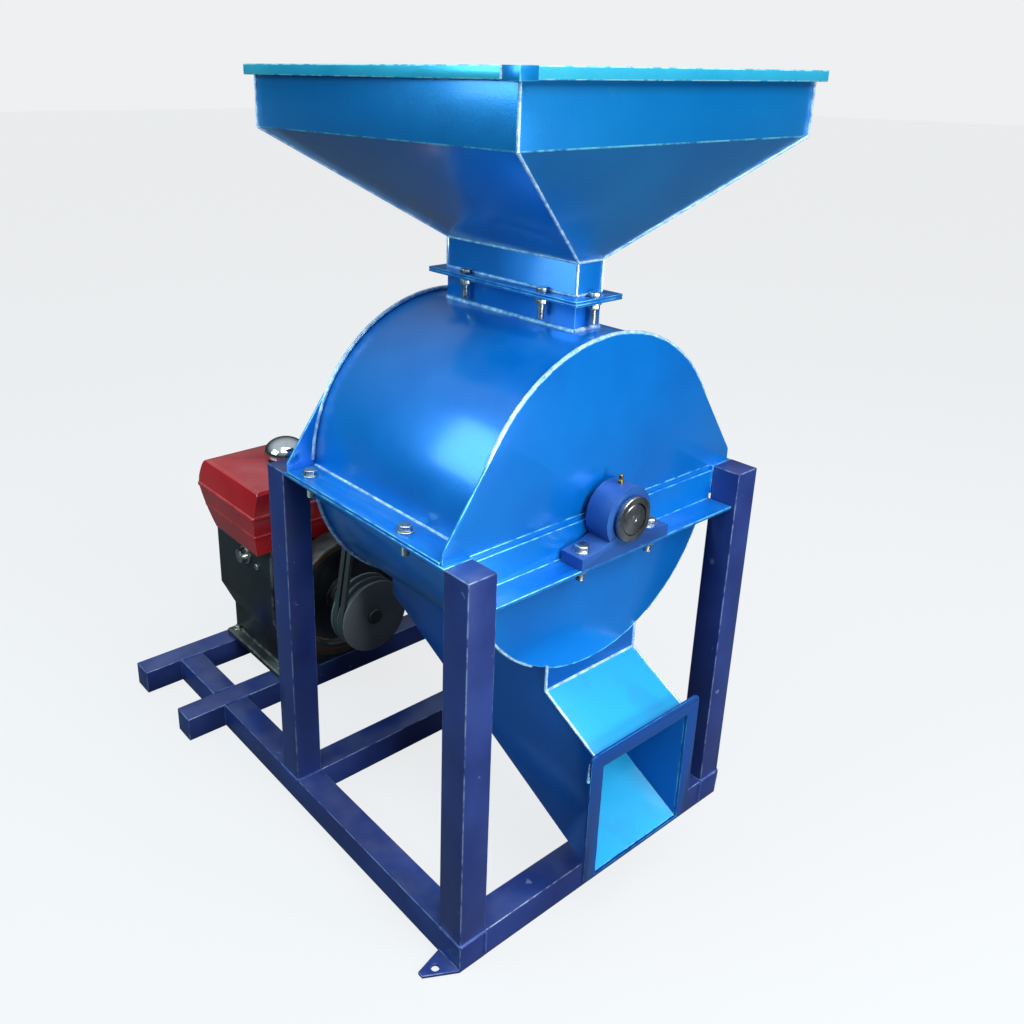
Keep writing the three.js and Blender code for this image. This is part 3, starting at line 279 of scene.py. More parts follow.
@dataclass(frozen=True)
class Finish:
    """A surface finish, from its colours to its wear.

    Attributes:
        name: material's name.
        deep: colour in the darker clouds.
        pale: colour in the lighter clouds.
        worn: colour where the finish has rubbed off.
        metallic: share of metal flake or bare metal.
        rough: lowest and highest roughness.
        coat: weight of the clear gloss over the colour.
        coat_rough: roughness of that gloss.
        cloud: changes of tone in a metre.
        speckle: flecks in a metre.
        fleck: weight of the flecks.
        grain: bumps in a metre.
        depth: height of the bumps in metres.
        scratch: weight of the scratches.
        edge: how much of the edges is rubbed.
        chips: how much stray chipping shows.
        dust_and_highlight: weight of the dusting on faces that look up; on the chute, a painted highlight.
        dust_and_highlight_tint: colour of that dusting; on the chute, the pale cyan of the painted highlight.
        film: how unbroken that dusting is.
    """

    name: str
    deep: Colour
    pale: Colour
    worn: Colour = (0.35, 0.36, 0.38)
    metallic: float = 0.0
    rough: tuple[float, float] = (0.25, 0.4)
    coat: float = 0.0
    coat_rough: float = 0.1
    cloud: float = 7.0
    speckle: float = 420.0
    fleck: float = 0.2
    grain: float = 700.0
    depth: float = 0.0001
    scratch: float = 0.2
    edge: float = 0.6
    chips: float = 0.1
    dust_and_highlight: float = 0.1
    dust_and_highlight_tint: Colour = (0.42, 0.40, 0.36)
    film: float = 0.0

    def material(self) -> bpy.types.Material:
        """Builds the material on its first use and returns it."""
        made = bpy.data.materials.get(self.name)
        if made:
            return made
        made = bpy.data.materials.new(self.name)
        made.use_nodes = True
        made.diffuse_color = (*self.pale, 1.0)
        tree = made.node_tree
        shader = tree.nodes["Principled BSDF"]
        # Lighter clouds and worn patches are random tone and wear, except on the welds and the hopper rim,
        # where their near-white colours are painted highlights.
        tone_and_glint = self._group(tree, "mottle_and_glint", mottle_and_glint_group, Cloud=self.cloud, Speckle=self.speckle,
                            Fleck=self.fleck)
        wear = self._group(tree, "edge_wear_and_glint", wear_and_glint_group, Edge=self.edge, Chips=self.chips)
        dust_and_highlight = self._group(tree, "settled_dust_and_highlight", dust_and_highlight_group, Amount=self.dust_and_highlight, Even=self.film)
        height = self._group(tree, "surface_grain", skin_group, Grain=self.grain, Scratch=self.scratch)
        colour = self._mix(tree, tone_and_glint, self.deep, self.pale)
        colour = self._mix(tree, wear, colour, self.worn)
        # Faces that look up take the upward tint: a settled dusting on most finishes, and a painted highlight
        # on the chute.
        colour = self._mix(tree, dust_and_highlight, colour, self.dust_and_highlight_tint)
        tree.links.new(colour, shader.inputs["Base Color"])
        roughness = spread(tree, tone_and_glint, 0.0, 1.0, *self.rough)
        roughness = combine(tree, "ADD", roughness, combine(tree, "MULTIPLY", wear, 0.15))
        roughness = combine(tree, "ADD", roughness, combine(tree, "MULTIPLY", dust_and_highlight, 0.5))
        tree.links.new(roughness, shader.inputs["Roughness"])
        bump = tree.nodes.new("ShaderNodeBump")
        bump.inputs["Distance"].default_value = self.depth
        bump.inputs["Strength"].default_value = 0.6
        tree.links.new(height, bump.inputs["Height"])
        tree.links.new(bump.outputs["Normal"], shader.inputs["Normal"])
        shader.inputs["Metallic"].default_value = self.metallic
        shader.inputs["Coat Weight"].default_value = self.coat
        shader.inputs["Coat Roughness"].default_value = self.coat_rough
        return made

    @staticmethod
    def _group(tree: bpy.types.NodeTree, name: str, maker: Callable[[], bpy.types.NodeTree],
               **values: float) -> bpy.types.NodeSocket:
        """Places a shared group with its own values and returns its only output."""
        node = tree.nodes.new("ShaderNodeGroup")
        node.node_tree = shared(name, maker)
        for key, value in values.items():
            node.inputs[key].default_value = value
        return node.outputs[0]

    @staticmethod
    def _mix(tree: bpy.types.NodeTree, factor: bpy.types.NodeSocket,
             first: Colour | bpy.types.NodeSocket, second: Colour) -> bpy.types.NodeSocket:
        """Mixes two colours by a mask and returns the result."""
        node = tree.nodes.new("ShaderNodeMix")
        node.data_type = "RGBA"
        tree.links.new(factor, node.inputs[0])
        if isinstance(first, bpy.types.NodeSocket):
            tree.links.new(first, node.inputs[6])
        else:
            node.inputs[6].default_value = (*first, 1.0)
        node.inputs[7].default_value = (*second, 1.0)
        return node.outputs[2]


CASING_ENAMEL = Finish(
    "casing_enamel", linear(0, 104, 194), linear(0, 132, 222), worn=linear(120, 205, 235),
    metallic=0.4, rough=(0.28, 0.36), coat=0.7, coat_rough=0.16, cloud=4.0, fleck=0.12,
    grain=420.0, depth=0.0003, edge=0.75, chips=0.03, dust_and_highlight=0.03)


@dataclass(frozen=True)
class Palette:
    """The finishes of the mill, the frame and the engine."""

    casing: Finish = CASING_ENAMEL
    # On the chute, the pale cyan tint on faces that look up is laid as an even film. It is a painted
    # highlight for the light on the chute's roof and inner floor.
    chute: Finish = replace(CASING_ENAMEL, name="chute_enamel_painted_highlight", deep=linear(0, 78, 160),
                            pale=linear(0, 96, 180), dust_and_highlight=0.9, dust_and_highlight_tint=linear(4, 158, 204),
                            film=0.8, edge=0.9)
    lip: Finish = replace(CASING_ENAMEL, name="lip_enamel", deep=linear(0, 62, 140),
                          pale=linear(2, 78, 160), worn=linear(60, 180, 230), edge=1.0)
    # The rim's pale cyan colours and near-white worn edges are a painted highlight: a lighter copy of the
    # casing enamel for the light on the rim's top and front.
    rim: Finish = replace(CASING_ENAMEL, name="rim_enamel_painted_highlight", deep=linear(20, 158, 208),
                          pale=linear(84, 214, 238), worn=linear(190, 240, 240), rough=(0.2, 0.3))
    hopper: Finish = Finish(
        "hopper_enamel", linear(2, 118, 196), linear(6, 142, 216), worn=linear(120, 215, 235),
        metallic=0.5, rough=(0.28, 0.36), coat=0.7, coat_rough=0.16, cloud=4.0, fleck=0.12,
        grain=420.0, depth=0.00028, edge=0.85, chips=0.03, dust_and_highlight=0.03)
    frame: Finish = Finish(
        "frame_enamel", linear(22, 38, 96), linear(38, 58, 124), worn=linear(150, 165, 190),
        metallic=0.15, rough=(0.3, 0.44), coat=0.4, coat_rough=0.18, cloud=9.0, depth=0.0002,
        edge=0.4, chips=0.3, dust_and_highlight=0.08)
    # The near-white lighter clouds and chips on these blue beads are painted glints, for the broken highlight
    # along the bead ridges.
    bead: Finish = Finish(
        "painted_weld", linear(24, 122, 208), linear(214, 240, 250), worn=linear(250, 252, 252),
        metallic=0.2, rough=(0.14, 0.28), coat=0.8, cloud=85.0, speckle=600.0, fleck=0.4,
        grain=900.0, depth=0.0004, edge=0.0, chips=0.8, dust_and_highlight=0.0)
    frame_bead: Finish = Finish(
        "painted_weld_navy", linear(30, 50, 112), linear(66, 90, 160), worn=linear(150, 165, 190),
        metallic=0.2, rough=(0.3, 0.44), coat=0.3, cloud=60.0, grain=900.0, depth=0.0004,
        edge=0.0, chips=0.5)
    zinc: Finish = Finish(
        "zinc_plate", linear(150, 152, 150), linear(205, 206, 200), worn=linear(235, 235, 230),
        metallic=1.0, rough=(0.22, 0.4), cloud=90.0, speckle=900.0, depth=0.00005, edge=0.5)
    steel: Finish = Finish(
        "turned_steel", linear(120, 122, 126), linear(176, 178, 182), worn=linear(214, 214, 216),
        metallic=1.0, rough=(0.2, 0.42), cloud=30.0, depth=0.00006, scratch=0.8, edge=0.5)
    hammer: Finish = Finish(
        "hammer_iron", linear(74, 70, 66), linear(118, 112, 106), worn=linear(190, 188, 184),
        metallic=0.85, rough=(0.36, 0.6), cloud=24.0, depth=0.0002, scratch=0.8, edge=0.8)
    iron: Finish = Finish(
        "cast_iron", linear(34, 36, 39), linear(62, 65, 70), worn=linear(130, 128, 124),
        metallic=0.5, rough=(0.45, 0.68), cloud=20.0, grain=650.0, depth=0.0006, edge=0.4, dust_and_highlight=0.2)
    bearing: Finish = Finish(
        "bearing_paint", linear(22, 62, 132), linear(42, 96, 170), worn=linear(120, 150, 180),
        metallic=0.25, rough=(0.32, 0.5), coat=0.3, grain=650.0, depth=0.0005, edge=0.5, chips=0.2)
    engine: Finish = Finish(
        "engine_enamel", linear(16, 17, 19), linear(38, 40, 43), worn=linear(112, 110, 106),
        metallic=0.2, rough=(0.3, 0.52), coat=0.25, coat_rough=0.25, cloud=14.0, grain=600.0,
        depth=0.0005, edge=0.45, chips=0.15, dust_and_highlight=0.22)
    rim_rust: Finish = Finish(
        "flywheel_rim", linear(70, 52, 42), linear(112, 88, 72), worn=linear(168, 150, 136),
        metallic=0.7, rough=(0.3, 0.5), cloud=26.0, depth=0.0001, scratch=0.9, edge=0.4)
    tank: Finish = Finish(
        "tank_enamel", linear(158, 14, 22), linear(204, 36, 42), worn=linear(215, 120, 110),
        metallic=0.1, rough=(0.16, 0.26), coat=1.0, coat_rough=0.04, cloud=5.0, speckle=300.0,
        grain=200.0, depth=0.00012, scratch=0.1, edge=0.15, chips=0.0, dust_and_highlight=0.08)
    chrome: Finish = Finish(
        "bright_chrome", linear(205, 207, 210), linear(238, 239, 240), worn=linear(180, 178, 172),
        metallic=1.0, rough=(0.04, 0.14), cloud=30.0, depth=0.00002, edge=0.1, chips=0.15, dust_and_highlight=0.03)
    rubber: Finish = Finish(
        "belt_rubber", linear(16, 16, 17), linear(38, 38, 39), worn=linear(70, 70, 68),
        rough=(0.6, 0.85), cloud=30.0, grain=900.0, depth=0.0003, edge=0.5, dust_and_highlight=0.25)
    brass: Finish = Finish(
        "brass_fitting", linear(150, 112, 48), linear(196, 158, 82), worn=linear(225, 200, 130),
        metallic=1.0, rough=(0.2, 0.36), cloud=80.0, depth=0.00004)


PALETTE = Palette()


# -------------------------------------------------------------------------- workshop
class Bench:
    """Modelling steps that every sub-assembly shares."""

    SHARP = math.radians(32)

    @staticmethod
    def clear() -> None:
        """Leaves object mode with nothing selected."""
        if bpy.context.object and bpy.context.object.mode != "OBJECT":
            bpy.ops.object.mode_set(mode="OBJECT")
        bpy.ops.object.select_all(action="DESELECT")

    @classmethod
    def only(cls, piece: bpy.types.Object) -> None:
        """Selects one object and makes it active."""
        cls.clear()
        piece.select_set(True)
        bpy.context.view_layer.objects.active = piece

    @classmethod
    def settle(cls, piece: bpy.types.Object) -> bpy.types.Object:
        """Applies an object's place to its mesh."""
        cls.only(piece)
        bpy.ops.object.transform_apply(location=True, rotation=True, scale=True)
        return piece

    @classmethod
    def edit(cls, piece: bpy.types.Object, work: Callable[[], None], select: str = "SELECT",
             mode: str = "VERT") -> None:
        """Runs some edit-mode steps on a piece.

        Args:
            piece: object to edit.
            work: steps to run.
            select: what select_all does first, SELECT or DESELECT.
            mode: what is selected, VERT, EDGE or FACE.
        """
        cls.only(piece)
        bpy.ops.object.mode_set(mode="EDIT")
        bpy.ops.mesh.select_mode(type=mode)
        bpy.ops.mesh.select_all(action=select)
        work()
        bpy.ops.object.mode_set(mode="OBJECT")

    @classmethod
    def pick_faces(cls, piece: bpy.types.Object, wanted: Callable[[bpy.types.MeshPolygon], bool]) -> None:
        """Selects the faces for which wanted is true, and nothing else, in face mode."""
        cls.edit(piece, lambda: None, "DESELECT", "FACE")
        for polygon in piece.data.polygons:
            polygon.select = wanted(polygon)

    @classmethod
    def on_faces(cls, piece: bpy.types.Object, wanted: Callable[[bpy.types.MeshPolygon], bool],
                 work: Callable[[], None]) -> None:
        """Selects faces by their place or normal and runs edit-mode steps on them."""
        cls.pick_faces(piece, wanted)
        cls.only(piece)
        bpy.ops.object.mode_set(mode="EDIT")
        work()
        bpy.ops.object.mode_set(mode="OBJECT")

    @classmethod
    def box(cls, name: str, low: Sequence[float], high: Sequence[float]) -> bpy.types.Object:
        """A block between two corners, to be shaped further."""
        cls.clear()
        bpy.ops.mesh.primitive_cube_add(size=1.0, location=[(a + b) / 2 for a, b in zip(low, high)])
        piece = bpy.context.object
        piece.name = name
        piece.scale = [b - a for a, b in zip(low, high)]
        return cls.settle(piece)

    @classmethod
    def bar(cls, name: str, at: Sequence[float], radius: float, length: float,
            axis: Axis = Axis.Z, sides: int = 32) -> bpy.types.Object:
        """A round or many-sided bar that starts at a point and runs along an axis."""
        cls.clear()
        bpy.ops.mesh.primitive_cylinder_add(vertices=sides, radius=radius, depth=length,
                                            location=(0.0, 0.0, length / 2))
        piece = bpy.context.object
        piece.name = name
        cls.settle(piece)
        piece.matrix_world = Matrix.Translation(Vector(at)) @ axis.turn
        return cls.settle(piece)

    @classmethod
    def turned(cls, name: str, profile: Sequence[tuple[float, float]], at: Sequence[float],
               axis: Axis, steps: int = 64) -> bpy.types.Object:
        """Spins an outline of (radius, height) pairs about an axis.

        Args:
            name: piece's name.
            profile: outline, which starts and ends on the axis or closes on itself.
            at: where height 0 lies.
            axis: direction of the height.
            steps: steps of the spin.

        Returns:
            The closed, turned piece.
        """
        piece = cls.chain(name, [(radius, 0.0, height) for radius, height in profile])

        def revolve() -> None:
            bpy.ops.mesh.spin(steps=steps, angle=math.tau, center=(0.0, 0.0, 0.0), axis=(0.0, 0.0, 1.0))
            bpy.ops.mesh.select_all(action="SELECT")
            bpy.ops.mesh.remove_doubles(threshold=1e-6)
            bpy.ops.mesh.delete_loose()
            bpy.ops.mesh.select_all(action="SELECT")
            bpy.ops.mesh.normals_make_consistent(inside=False)

        cls.edit(piece, revolve)
        piece.matrix_world = Matrix.Translation(Vector(at)) @ axis.turn
        return cls.settle(piece)

    @classmethod
    def chain(cls, name: str, route: Sequence[Point]) -> bpy.types.Object:
        """A chain of edges through the points of a route, drawn out from one corner.

        Args:
            name: piece's name.
            route: points of the chain.

        Returns:
            The chain as a mesh object.
        """
        cls.clear()
        bpy.ops.mesh.primitive_plane_add(size=1.0)
        piece = bpy.context.object
        piece.name = name

        def draw() -> None:
            bpy.ops.mesh.merge(type="CENTER")
            bpy.ops.transform.translate(value=route[0])
            for here, ahead in zip(route, route[1:]):
                step = Vector(ahead) - Vector(here)
                bpy.ops.mesh.extrude_vertices_move(TRANSFORM_OT_translate={"value": step})

        cls.edit(piece, draw)
        return piece

    @classmethod
    def curve(cls, name: str, route: Sequence[Point]) -> bpy.types.Object:
        """A curve through the points of a route."""
        piece = cls.chain(name, route)
        cls.only(piece)
        bpy.ops.object.convert(target="CURVE")
        return bpy.context.object

    @classmethod
    def pipe(cls, name: str, route: Sequence[Point], radius: float, sides: int = 4) -> bpy.types.Object:
        """A round pipe, hose or wire along a smooth route, with closed ends.

        Args:
            name: piece's name.
            route: points that guide the route, the first and last on it.
            radius: radius of the pipe.
            sides: steps of a quarter of its roundness.

        Returns:
            The pipe as a mesh object.
        """
        piece = cls.curve(name, route)
        piece.data.bevel_depth = radius
        piece.data.bevel_resolution = sides
        piece.data.use_fill_caps = True
        bpy.ops.object.mode_set(mode="EDIT")
        bpy.ops.curve.select_all(action="SELECT")
        bpy.ops.curve.spline_type_set(type="NURBS")
        bpy.ops.object.mode_set(mode="OBJECT")
        for spline in piece.data.splines:
            spline.use_endpoint_u = True
            spline.order_u = min(4, len(route))
            for point in spline.points:
                point.co.w = 1.0
            spline.resolution_u = 8
        cls.only(piece)
        bpy.ops.object.convert(target="MESH")
        tube = bpy.context.object
        cls.edit(tube, lambda: bpy.ops.mesh.remove_doubles(threshold=1e-6))
        return cls.settle(tube)

    @classmethod
    def apply(cls, piece: bpy.types.Object) -> bpy.types.Object:
        """Applies every modifier of a piece in order."""
        cls.only(piece)
        for modifier in list(piece.modifiers):
            bpy.ops.object.modifier_apply(modifier=modifier.name)
        return piece

    @classmethod
    def round_edges(cls, piece: bpy.types.Object, width: float, segments: int = 2,
                    angle: float = 40.0, mark: bool = True) -> bpy.types.Object:
        """Bevels the sharp edges of a piece and marks the bevels for wear.

        Args:
            piece: object to bevel.
            width: width of the bevel.
            segments: steps of the bevel.
            angle: edges sharper than this, in degrees, are rounded.
            mark: whether to store the bevels in the face attribute "edge".

        Returns:
            The same object.
        """
        bevel = piece.modifiers.new("edges", "BEVEL")
        bevel.width = width
        bevel.segments = segments
        bevel.limit_method = "ANGLE"
        bevel.angle_limit = math.radians(angle)
        bevel.use_clamp_overlap = True
        bevel.miter_outer = "MITER_ARC"
        if mark:
            while len(piece.data.materials) < 2:
                piece.data.materials.append(None)
            bevel.material = 1
        cls.apply(piece)
        if mark:
            marks = [float(polygon.material_index == 1) for polygon in piece.data.polygons]
            layer = piece.data.attributes.new("edge", "FLOAT", "FACE")
            layer.data.foreach_set("value", marks)
            for polygon in piece.data.polygons:
                polygon.material_index = 0
            piece.data.materials.clear()
        return piece

    @classmethod
    def cut(cls, piece: bpy.types.Object, *tools: bpy.types.Object) -> bpy.types.Object:
        """Cuts tools out of a piece and removes them."""
        for tool in tools:
            modifier = piece.modifiers.new("cut", "BOOLEAN")
            modifier.operation = "DIFFERENCE"
            modifier.solver = "EXACT"
            modifier.object = tool
            cls.apply(piece)
            bpy.data.objects.remove(tool)
        return piece

    @classmethod
    def join(cls, name: str, pieces: Sequence[bpy.types.Object]) -> bpy.types.Object:
        """Joins several objects into one under a new name."""
        cls.clear()
        for piece in pieces:
            piece.select_set(True)
        bpy.context.view_layer.objects.active = pieces[0]
        if len(pieces) > 1:
            bpy.ops.object.join()
        joined = bpy.context.object
        joined.name = name
        return joined

    @classmethod
    def copy(cls, piece: bpy.types.Object, name: str, move: Matrix) -> bpy.types.Object:
        """A copy of a piece with its own mesh, moved."""
        twin = piece.copy()
        twin.data = piece.data.copy()
        twin.name = name
        twin.parent = None
        bpy.context.collection.objects.link(twin)
        twin.matrix_world = move
        return cls.settle(twin)

    @classmethod
    def smooth(cls, piece: bpy.types.Object, angle: float | None = None) -> bpy.types.Object:
        """Shades a piece smooth except at its sharp edges."""
        cls.only(piece)
        bpy.ops.object.shade_smooth_by_angle(angle=angle or cls.SHARP)
        return piece

    @classmethod
    def finish(cls, piece: bpy.types.Object, finish: Finish, body: str, slot: str,
               *nodes: str) -> bpy.types.Object:
        """Gives a piece its finish and its body.

        Args:
            piece: finished object.
            finish: its surface finish.
            body: body that it rides on.
            slot: the record's material slot; not used.
            nodes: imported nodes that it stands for.

        Returns:
            The same object.
        """
        piece.data.materials.clear()
        piece.data.materials.append(finish.material())
        cls.smooth(piece)
        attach(piece, body)
        if nodes:
            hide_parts(*nodes)
        log.info("%s rides on %s", piece.name, body)
        return piece


@dataclass
class Shop:
    """What a sub-assembly works with.

    Attributes:
        nodes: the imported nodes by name.
        body_of: the body that each node rides on.
        slot_of: the material slot of each node.
    """

    nodes: dict[str, bpy.types.Object]
    body_of: dict[str, str]
    slot_of: dict[str, str]

    def adopt(self, node: str, finish: Finish, width: float, segments: int = 2,
              angle: float = 40.0, flatten: float = 0.3) -> bpy.types.Object:
        """Makes a rounded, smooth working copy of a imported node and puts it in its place.

        Args:
            node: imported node's name.
            finish: finish of the copy.
            width: width of its rounded edges.
            segments: steps of the rounding.
            angle: edges sharper than this, in degrees, are rounded.
            flatten: faces that meet at less than this, in degrees, become one.

        Returns:
            The copy, which rides on the node's body.
        """
        piece = self.copy(node, flatten)
        Bench.round_edges(piece, width, segments, angle)
        return Bench.finish(piece, finish, self.body_of[node], self.slot_of[node], node)

    def copy(self, node: str, flatten: float = 0.3) -> bpy.types.Object:
        """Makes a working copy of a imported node, with its corners merged.

        Args:
            node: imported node's name.
            flatten: faces that meet at less than this, in degrees, become one.

        Returns:
            The copy, free of its body.
        """
        piece = Bench.copy(self.nodes[node], f"{node}_dressed", Matrix.Identity(4))
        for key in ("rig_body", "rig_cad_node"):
            del piece[key]

        def merge() -> None:
            bpy.ops.mesh.remove_doubles(threshold=2e-5)
            bpy.ops.mesh.dissolve_limited(angle_limit=math.radians(flatten))
            bpy.ops.mesh.select_all(action="SELECT")
            bpy.ops.mesh.vert_connect_concave()

        Bench.edit(piece, merge)
        piece.data.materials.clear()
        return piece

    def keep(self, node: str, finish: Finish) -> bpy.types.Object:
        """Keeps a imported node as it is, under a new finish."""
        piece = self.nodes[node]
        piece.data.materials.clear()
        piece.data.materials.append(finish.material())
        log.info("%s kept", node)
        return piece


# ---------------------------------------------------------------------- small parts
@dataclass
class Fasteners:
    """Hexagon bolts with washers and nuts, each made where it stands.

    Attributes:
        across: distance across the flats.
        thread: thread diameter.
        body: body that the bolts ride on.
        group: name that the set is joined under.
    """

    across: float = 0.018
    thread: float = 0.012
    body: str = "frame"
    group: str = "bolts"
    made: list[bpy.types.Object] = field(default_factory=list)

    def head(self, at: Sequence[float], axis: Axis, washer: bool = True) -> None:
        """A hexagon head with its washer, standing on a face.

        Args:
            at: point on the face.
            axis: direction away from the face.
            washer: whether a washer lies under the head.
        """
        lift = 0.0
        if washer:
            disc = Bench.bar("washer", at, self.across * 0.68, 0.0022, axis, 28)
            self.made.append(Bench.round_edges(disc, 0.0005, 1))
            lift = 0.0022
        start = Vector(at) + Vector(axis.value) * lift
        hexagon = Bench.bar("head", start, self.across / math.sqrt(3), self.thread * 0.64, axis, 6)
        top = start + Vector(axis.value) * self.thread * 0.64

        def crown() -> None:
            bpy.ops.mesh.inset(thickness=self.across * 0.07, depth=self.thread * 0.07)

        Bench.on_faces(hexagon, lambda face: face.normal.dot(Vector(axis.value)) > 0.9
                       and (face.center - top).length < 0.001, crown)
        self.made.append(Bench.round_edges(hexagon, 0.0006, 2))

    def shank(self, at: Sequence[float], length: float, axis: Axis) -> None:
        """A threaded end with a chamfer, standing out of a face or nut."""
        bar = Bench.bar("shank", at, self.thread / 2, length, axis, 20)
        pitch = max(0.00175, length / 14)
        rings = int(length / pitch)
        rod = Bench.round_edges(bar, 0.001, 1)
        self.made.append(rod)
        for ring in range(1, rings):
            place = Vector(at) + Vector(axis.value) * pitch * ring
            thread = Bench.bar("thread", place, self.thread / 2 + 0.0004, pitch * 0.5, axis, 20)
            self.made.append(Bench.round_edges(thread, 0.0003, 1))

    def nut(self, at: Sequence[float], axis: Axis, tail: float) -> None:
        """A washer, a nut and the end of the thread.

        Args:
            at: point on the face.
            axis: direction away from the face.
            tail: thread that shows beyond the nut.
        """
        self.head(at, axis)
        top = Vector(at) + Vector(axis.value) * (0.0022 + self.thread * 0.62)
        self.shank(top, tail, axis)

    def done(self, finish: Finish = PALETTE.zinc, slot: str = "bright_steel") -> bpy.types.Object:
        """Joins the set, gives it its finish and returns it."""
        piece = Bench.join(self.group, self.made)
        return Bench.finish(piece, finish, self.body, slot)


@dataclass
class Bead:
    """Weld beads, run as a chain of ripples along a route.

    Attributes:
        radius: half of the bead's width.
        pitch: length of one ripple.
    """

    radius: float = 0.0032
    pitch: float = 0.005
    made: list[bpy.types.Object] = field(default_factory=list)

    def run(self, route: Sequence[Point]) -> None:
        """Lays one bead along the points of a route."""
        length = sum(math.dist(a, b) for a, b in zip(route, route[1:]))
        count = max(2, round(length / self.pitch))
        pitch = length / count
        Bench.clear()
        bpy.ops.mesh.primitive_circle_add(vertices=8, radius=self.radius * 0.86,
                                          rotation=(0.0, math.pi / 2, 0.0))
        unit = bpy.context.object
        Bench.settle(unit)

        def ripple() -> None:
            bpy.ops.mesh.extrude_region_move(TRANSFORM_OT_translate={"value": (pitch * 0.5, 0.0, 0.0)})
            bpy.ops.transform.resize(value=(1.0, 1.18, 1.18))
            bpy.ops.mesh.extrude_region_move(TRANSFORM_OT_translate={"value": (pitch * 0.5, 0.0, 0.0)})
            bpy.ops.transform.resize(value=(1.0, 1 / 1.18, 1 / 1.18))

        Bench.edit(unit, ripple)
        path = Bench.curve("route", route)
        array = unit.modifiers.new("ripples", "ARRAY")
        array.count = count
        array.use_relative_offset = False
        array.use_constant_offset = True
        array.constant_offset_displace = (pitch, 0.0, 0.0)
        array.use_merge_vertices = True
        array.merge_threshold = pitch * 0.05
        follow = unit.modifiers.new("route", "CURVE")
        follow.object = path
        Bench.apply(unit)
        bpy.data.objects.remove(path)

        def close() -> None:
            bpy.ops.mesh.select_non_manifold()
            bpy.ops.mesh.fill_holes(sides=8)
            bpy.ops.mesh.select_all(action="SELECT")
            bpy.ops.mesh.normals_make_consistent(inside=False)

        Bench.edit(unit, close, "DESELECT", "EDGE")
        self.made.append(unit)

    def done(self, name: str, finish: Finish, body: str, slot: str) -> bpy.types.Object:
        """Joins the beads into one piece, finishes it and returns it."""
        piece = Bench.join(name, self.made)
        return Bench.finish(piece, finish, body, slot)


def arc(centre: Point, radius: float, start: float, end: float, steps: int = 72) -> list[Point]:
    """Points of an arc in the X-Z plane, between two angles in degrees."""
    angles = [math.radians(start + (end - start) * step / steps) for step in range(steps + 1)]
    return [(centre[0] + radius * math.cos(a), centre[1], centre[2] + radius * math.sin(a))
            for a in angles]


def rectangle(low: Sequence[float], high: Sequence[float], z: float) -> list[list[Point]]:
    """The four sides of a level rectangle, as routes."""
    corners = [(low[0], low[1], z), (high[0], low[1], z), (high[0], high[1], z), (low[0], high[1], z)]
    return [[corners[side], corners[(side + 1) % 4]] for side in range(4)]


# ------------------------------------------------------------------------ sub-assemblies
@dataclass
class Framework:
    """The welded frame of square tube, with its anchor plates.

    Attributes:
        shop: what the sub-assembly works with.
        corner: outer radius of the tube's corners.
        bead: half width of the weld beads.
    """

    shop: Shop
    corner: float = 0.0035
    bead: float = 0.0028

    def build(self) -> None:
        """Dresses the tubes and lays the welds."""
        for node in self.shop.nodes:
            if self.shop.slot_of[node] == "frame_paint":
                self.shop.adopt(node, PALETTE.frame, self.corner, 3, 50.0)
        self.weld_legs()
        self.weld_base()

    def weld_legs(self) -> None:
        """Beads round the foot of each leg."""
        bead = Bead(self.bead)
        for end in ("front", "rear"):
            for side in ("left", "right"):
                low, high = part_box(f"leg_{end}_{side}")
                for route in rectangle(low, high, low.z - 0.0002):
                    bead.run(route)
        bead.done("leg_welds", PALETTE.frame_bead, "frame", "frame_paint")

    def weld_base(self) -> None:
        """Beads where the base tubes meet."""
        bead = Bead(self.bead)
        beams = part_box("base_beam_front"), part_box("base_beam_middle")
        for low, high in beams:
            for x in (low.x, high.x):
                bead.run([(x, low.y + 0.003, high.z), (x, high.y - 0.003, high.z)])
                bead.run([(x, low.y, low.z + 0.004), (x, low.y, high.z - 0.002)])
                bead.run([(x, high.y, low.z + 0.004), (x, high.y, high.z - 0.002)])
        front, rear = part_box("engine_rail_front"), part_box("engine_rail_rear")
        for side in ("left", "right"):
            low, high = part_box(f"base_tie_{side}")
            beam_low, beam_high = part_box(f"base_beam_{side}")
            inner = max(beam_low.x, low.x), min(beam_high.x, high.x)
            for y in (front[0].y, front[1].y, rear[0].y):
                bead.run([(inner[0] + 0.003, y, high.z), (inner[1] - 0.003, y, high.z)])
                for x in inner:
                    bead.run([(x, y, low.z + 0.004), (x, y, high.z - 0.002)])
        bead.done("base_welds", PALETTE.frame_bead, "frame", "frame_paint")


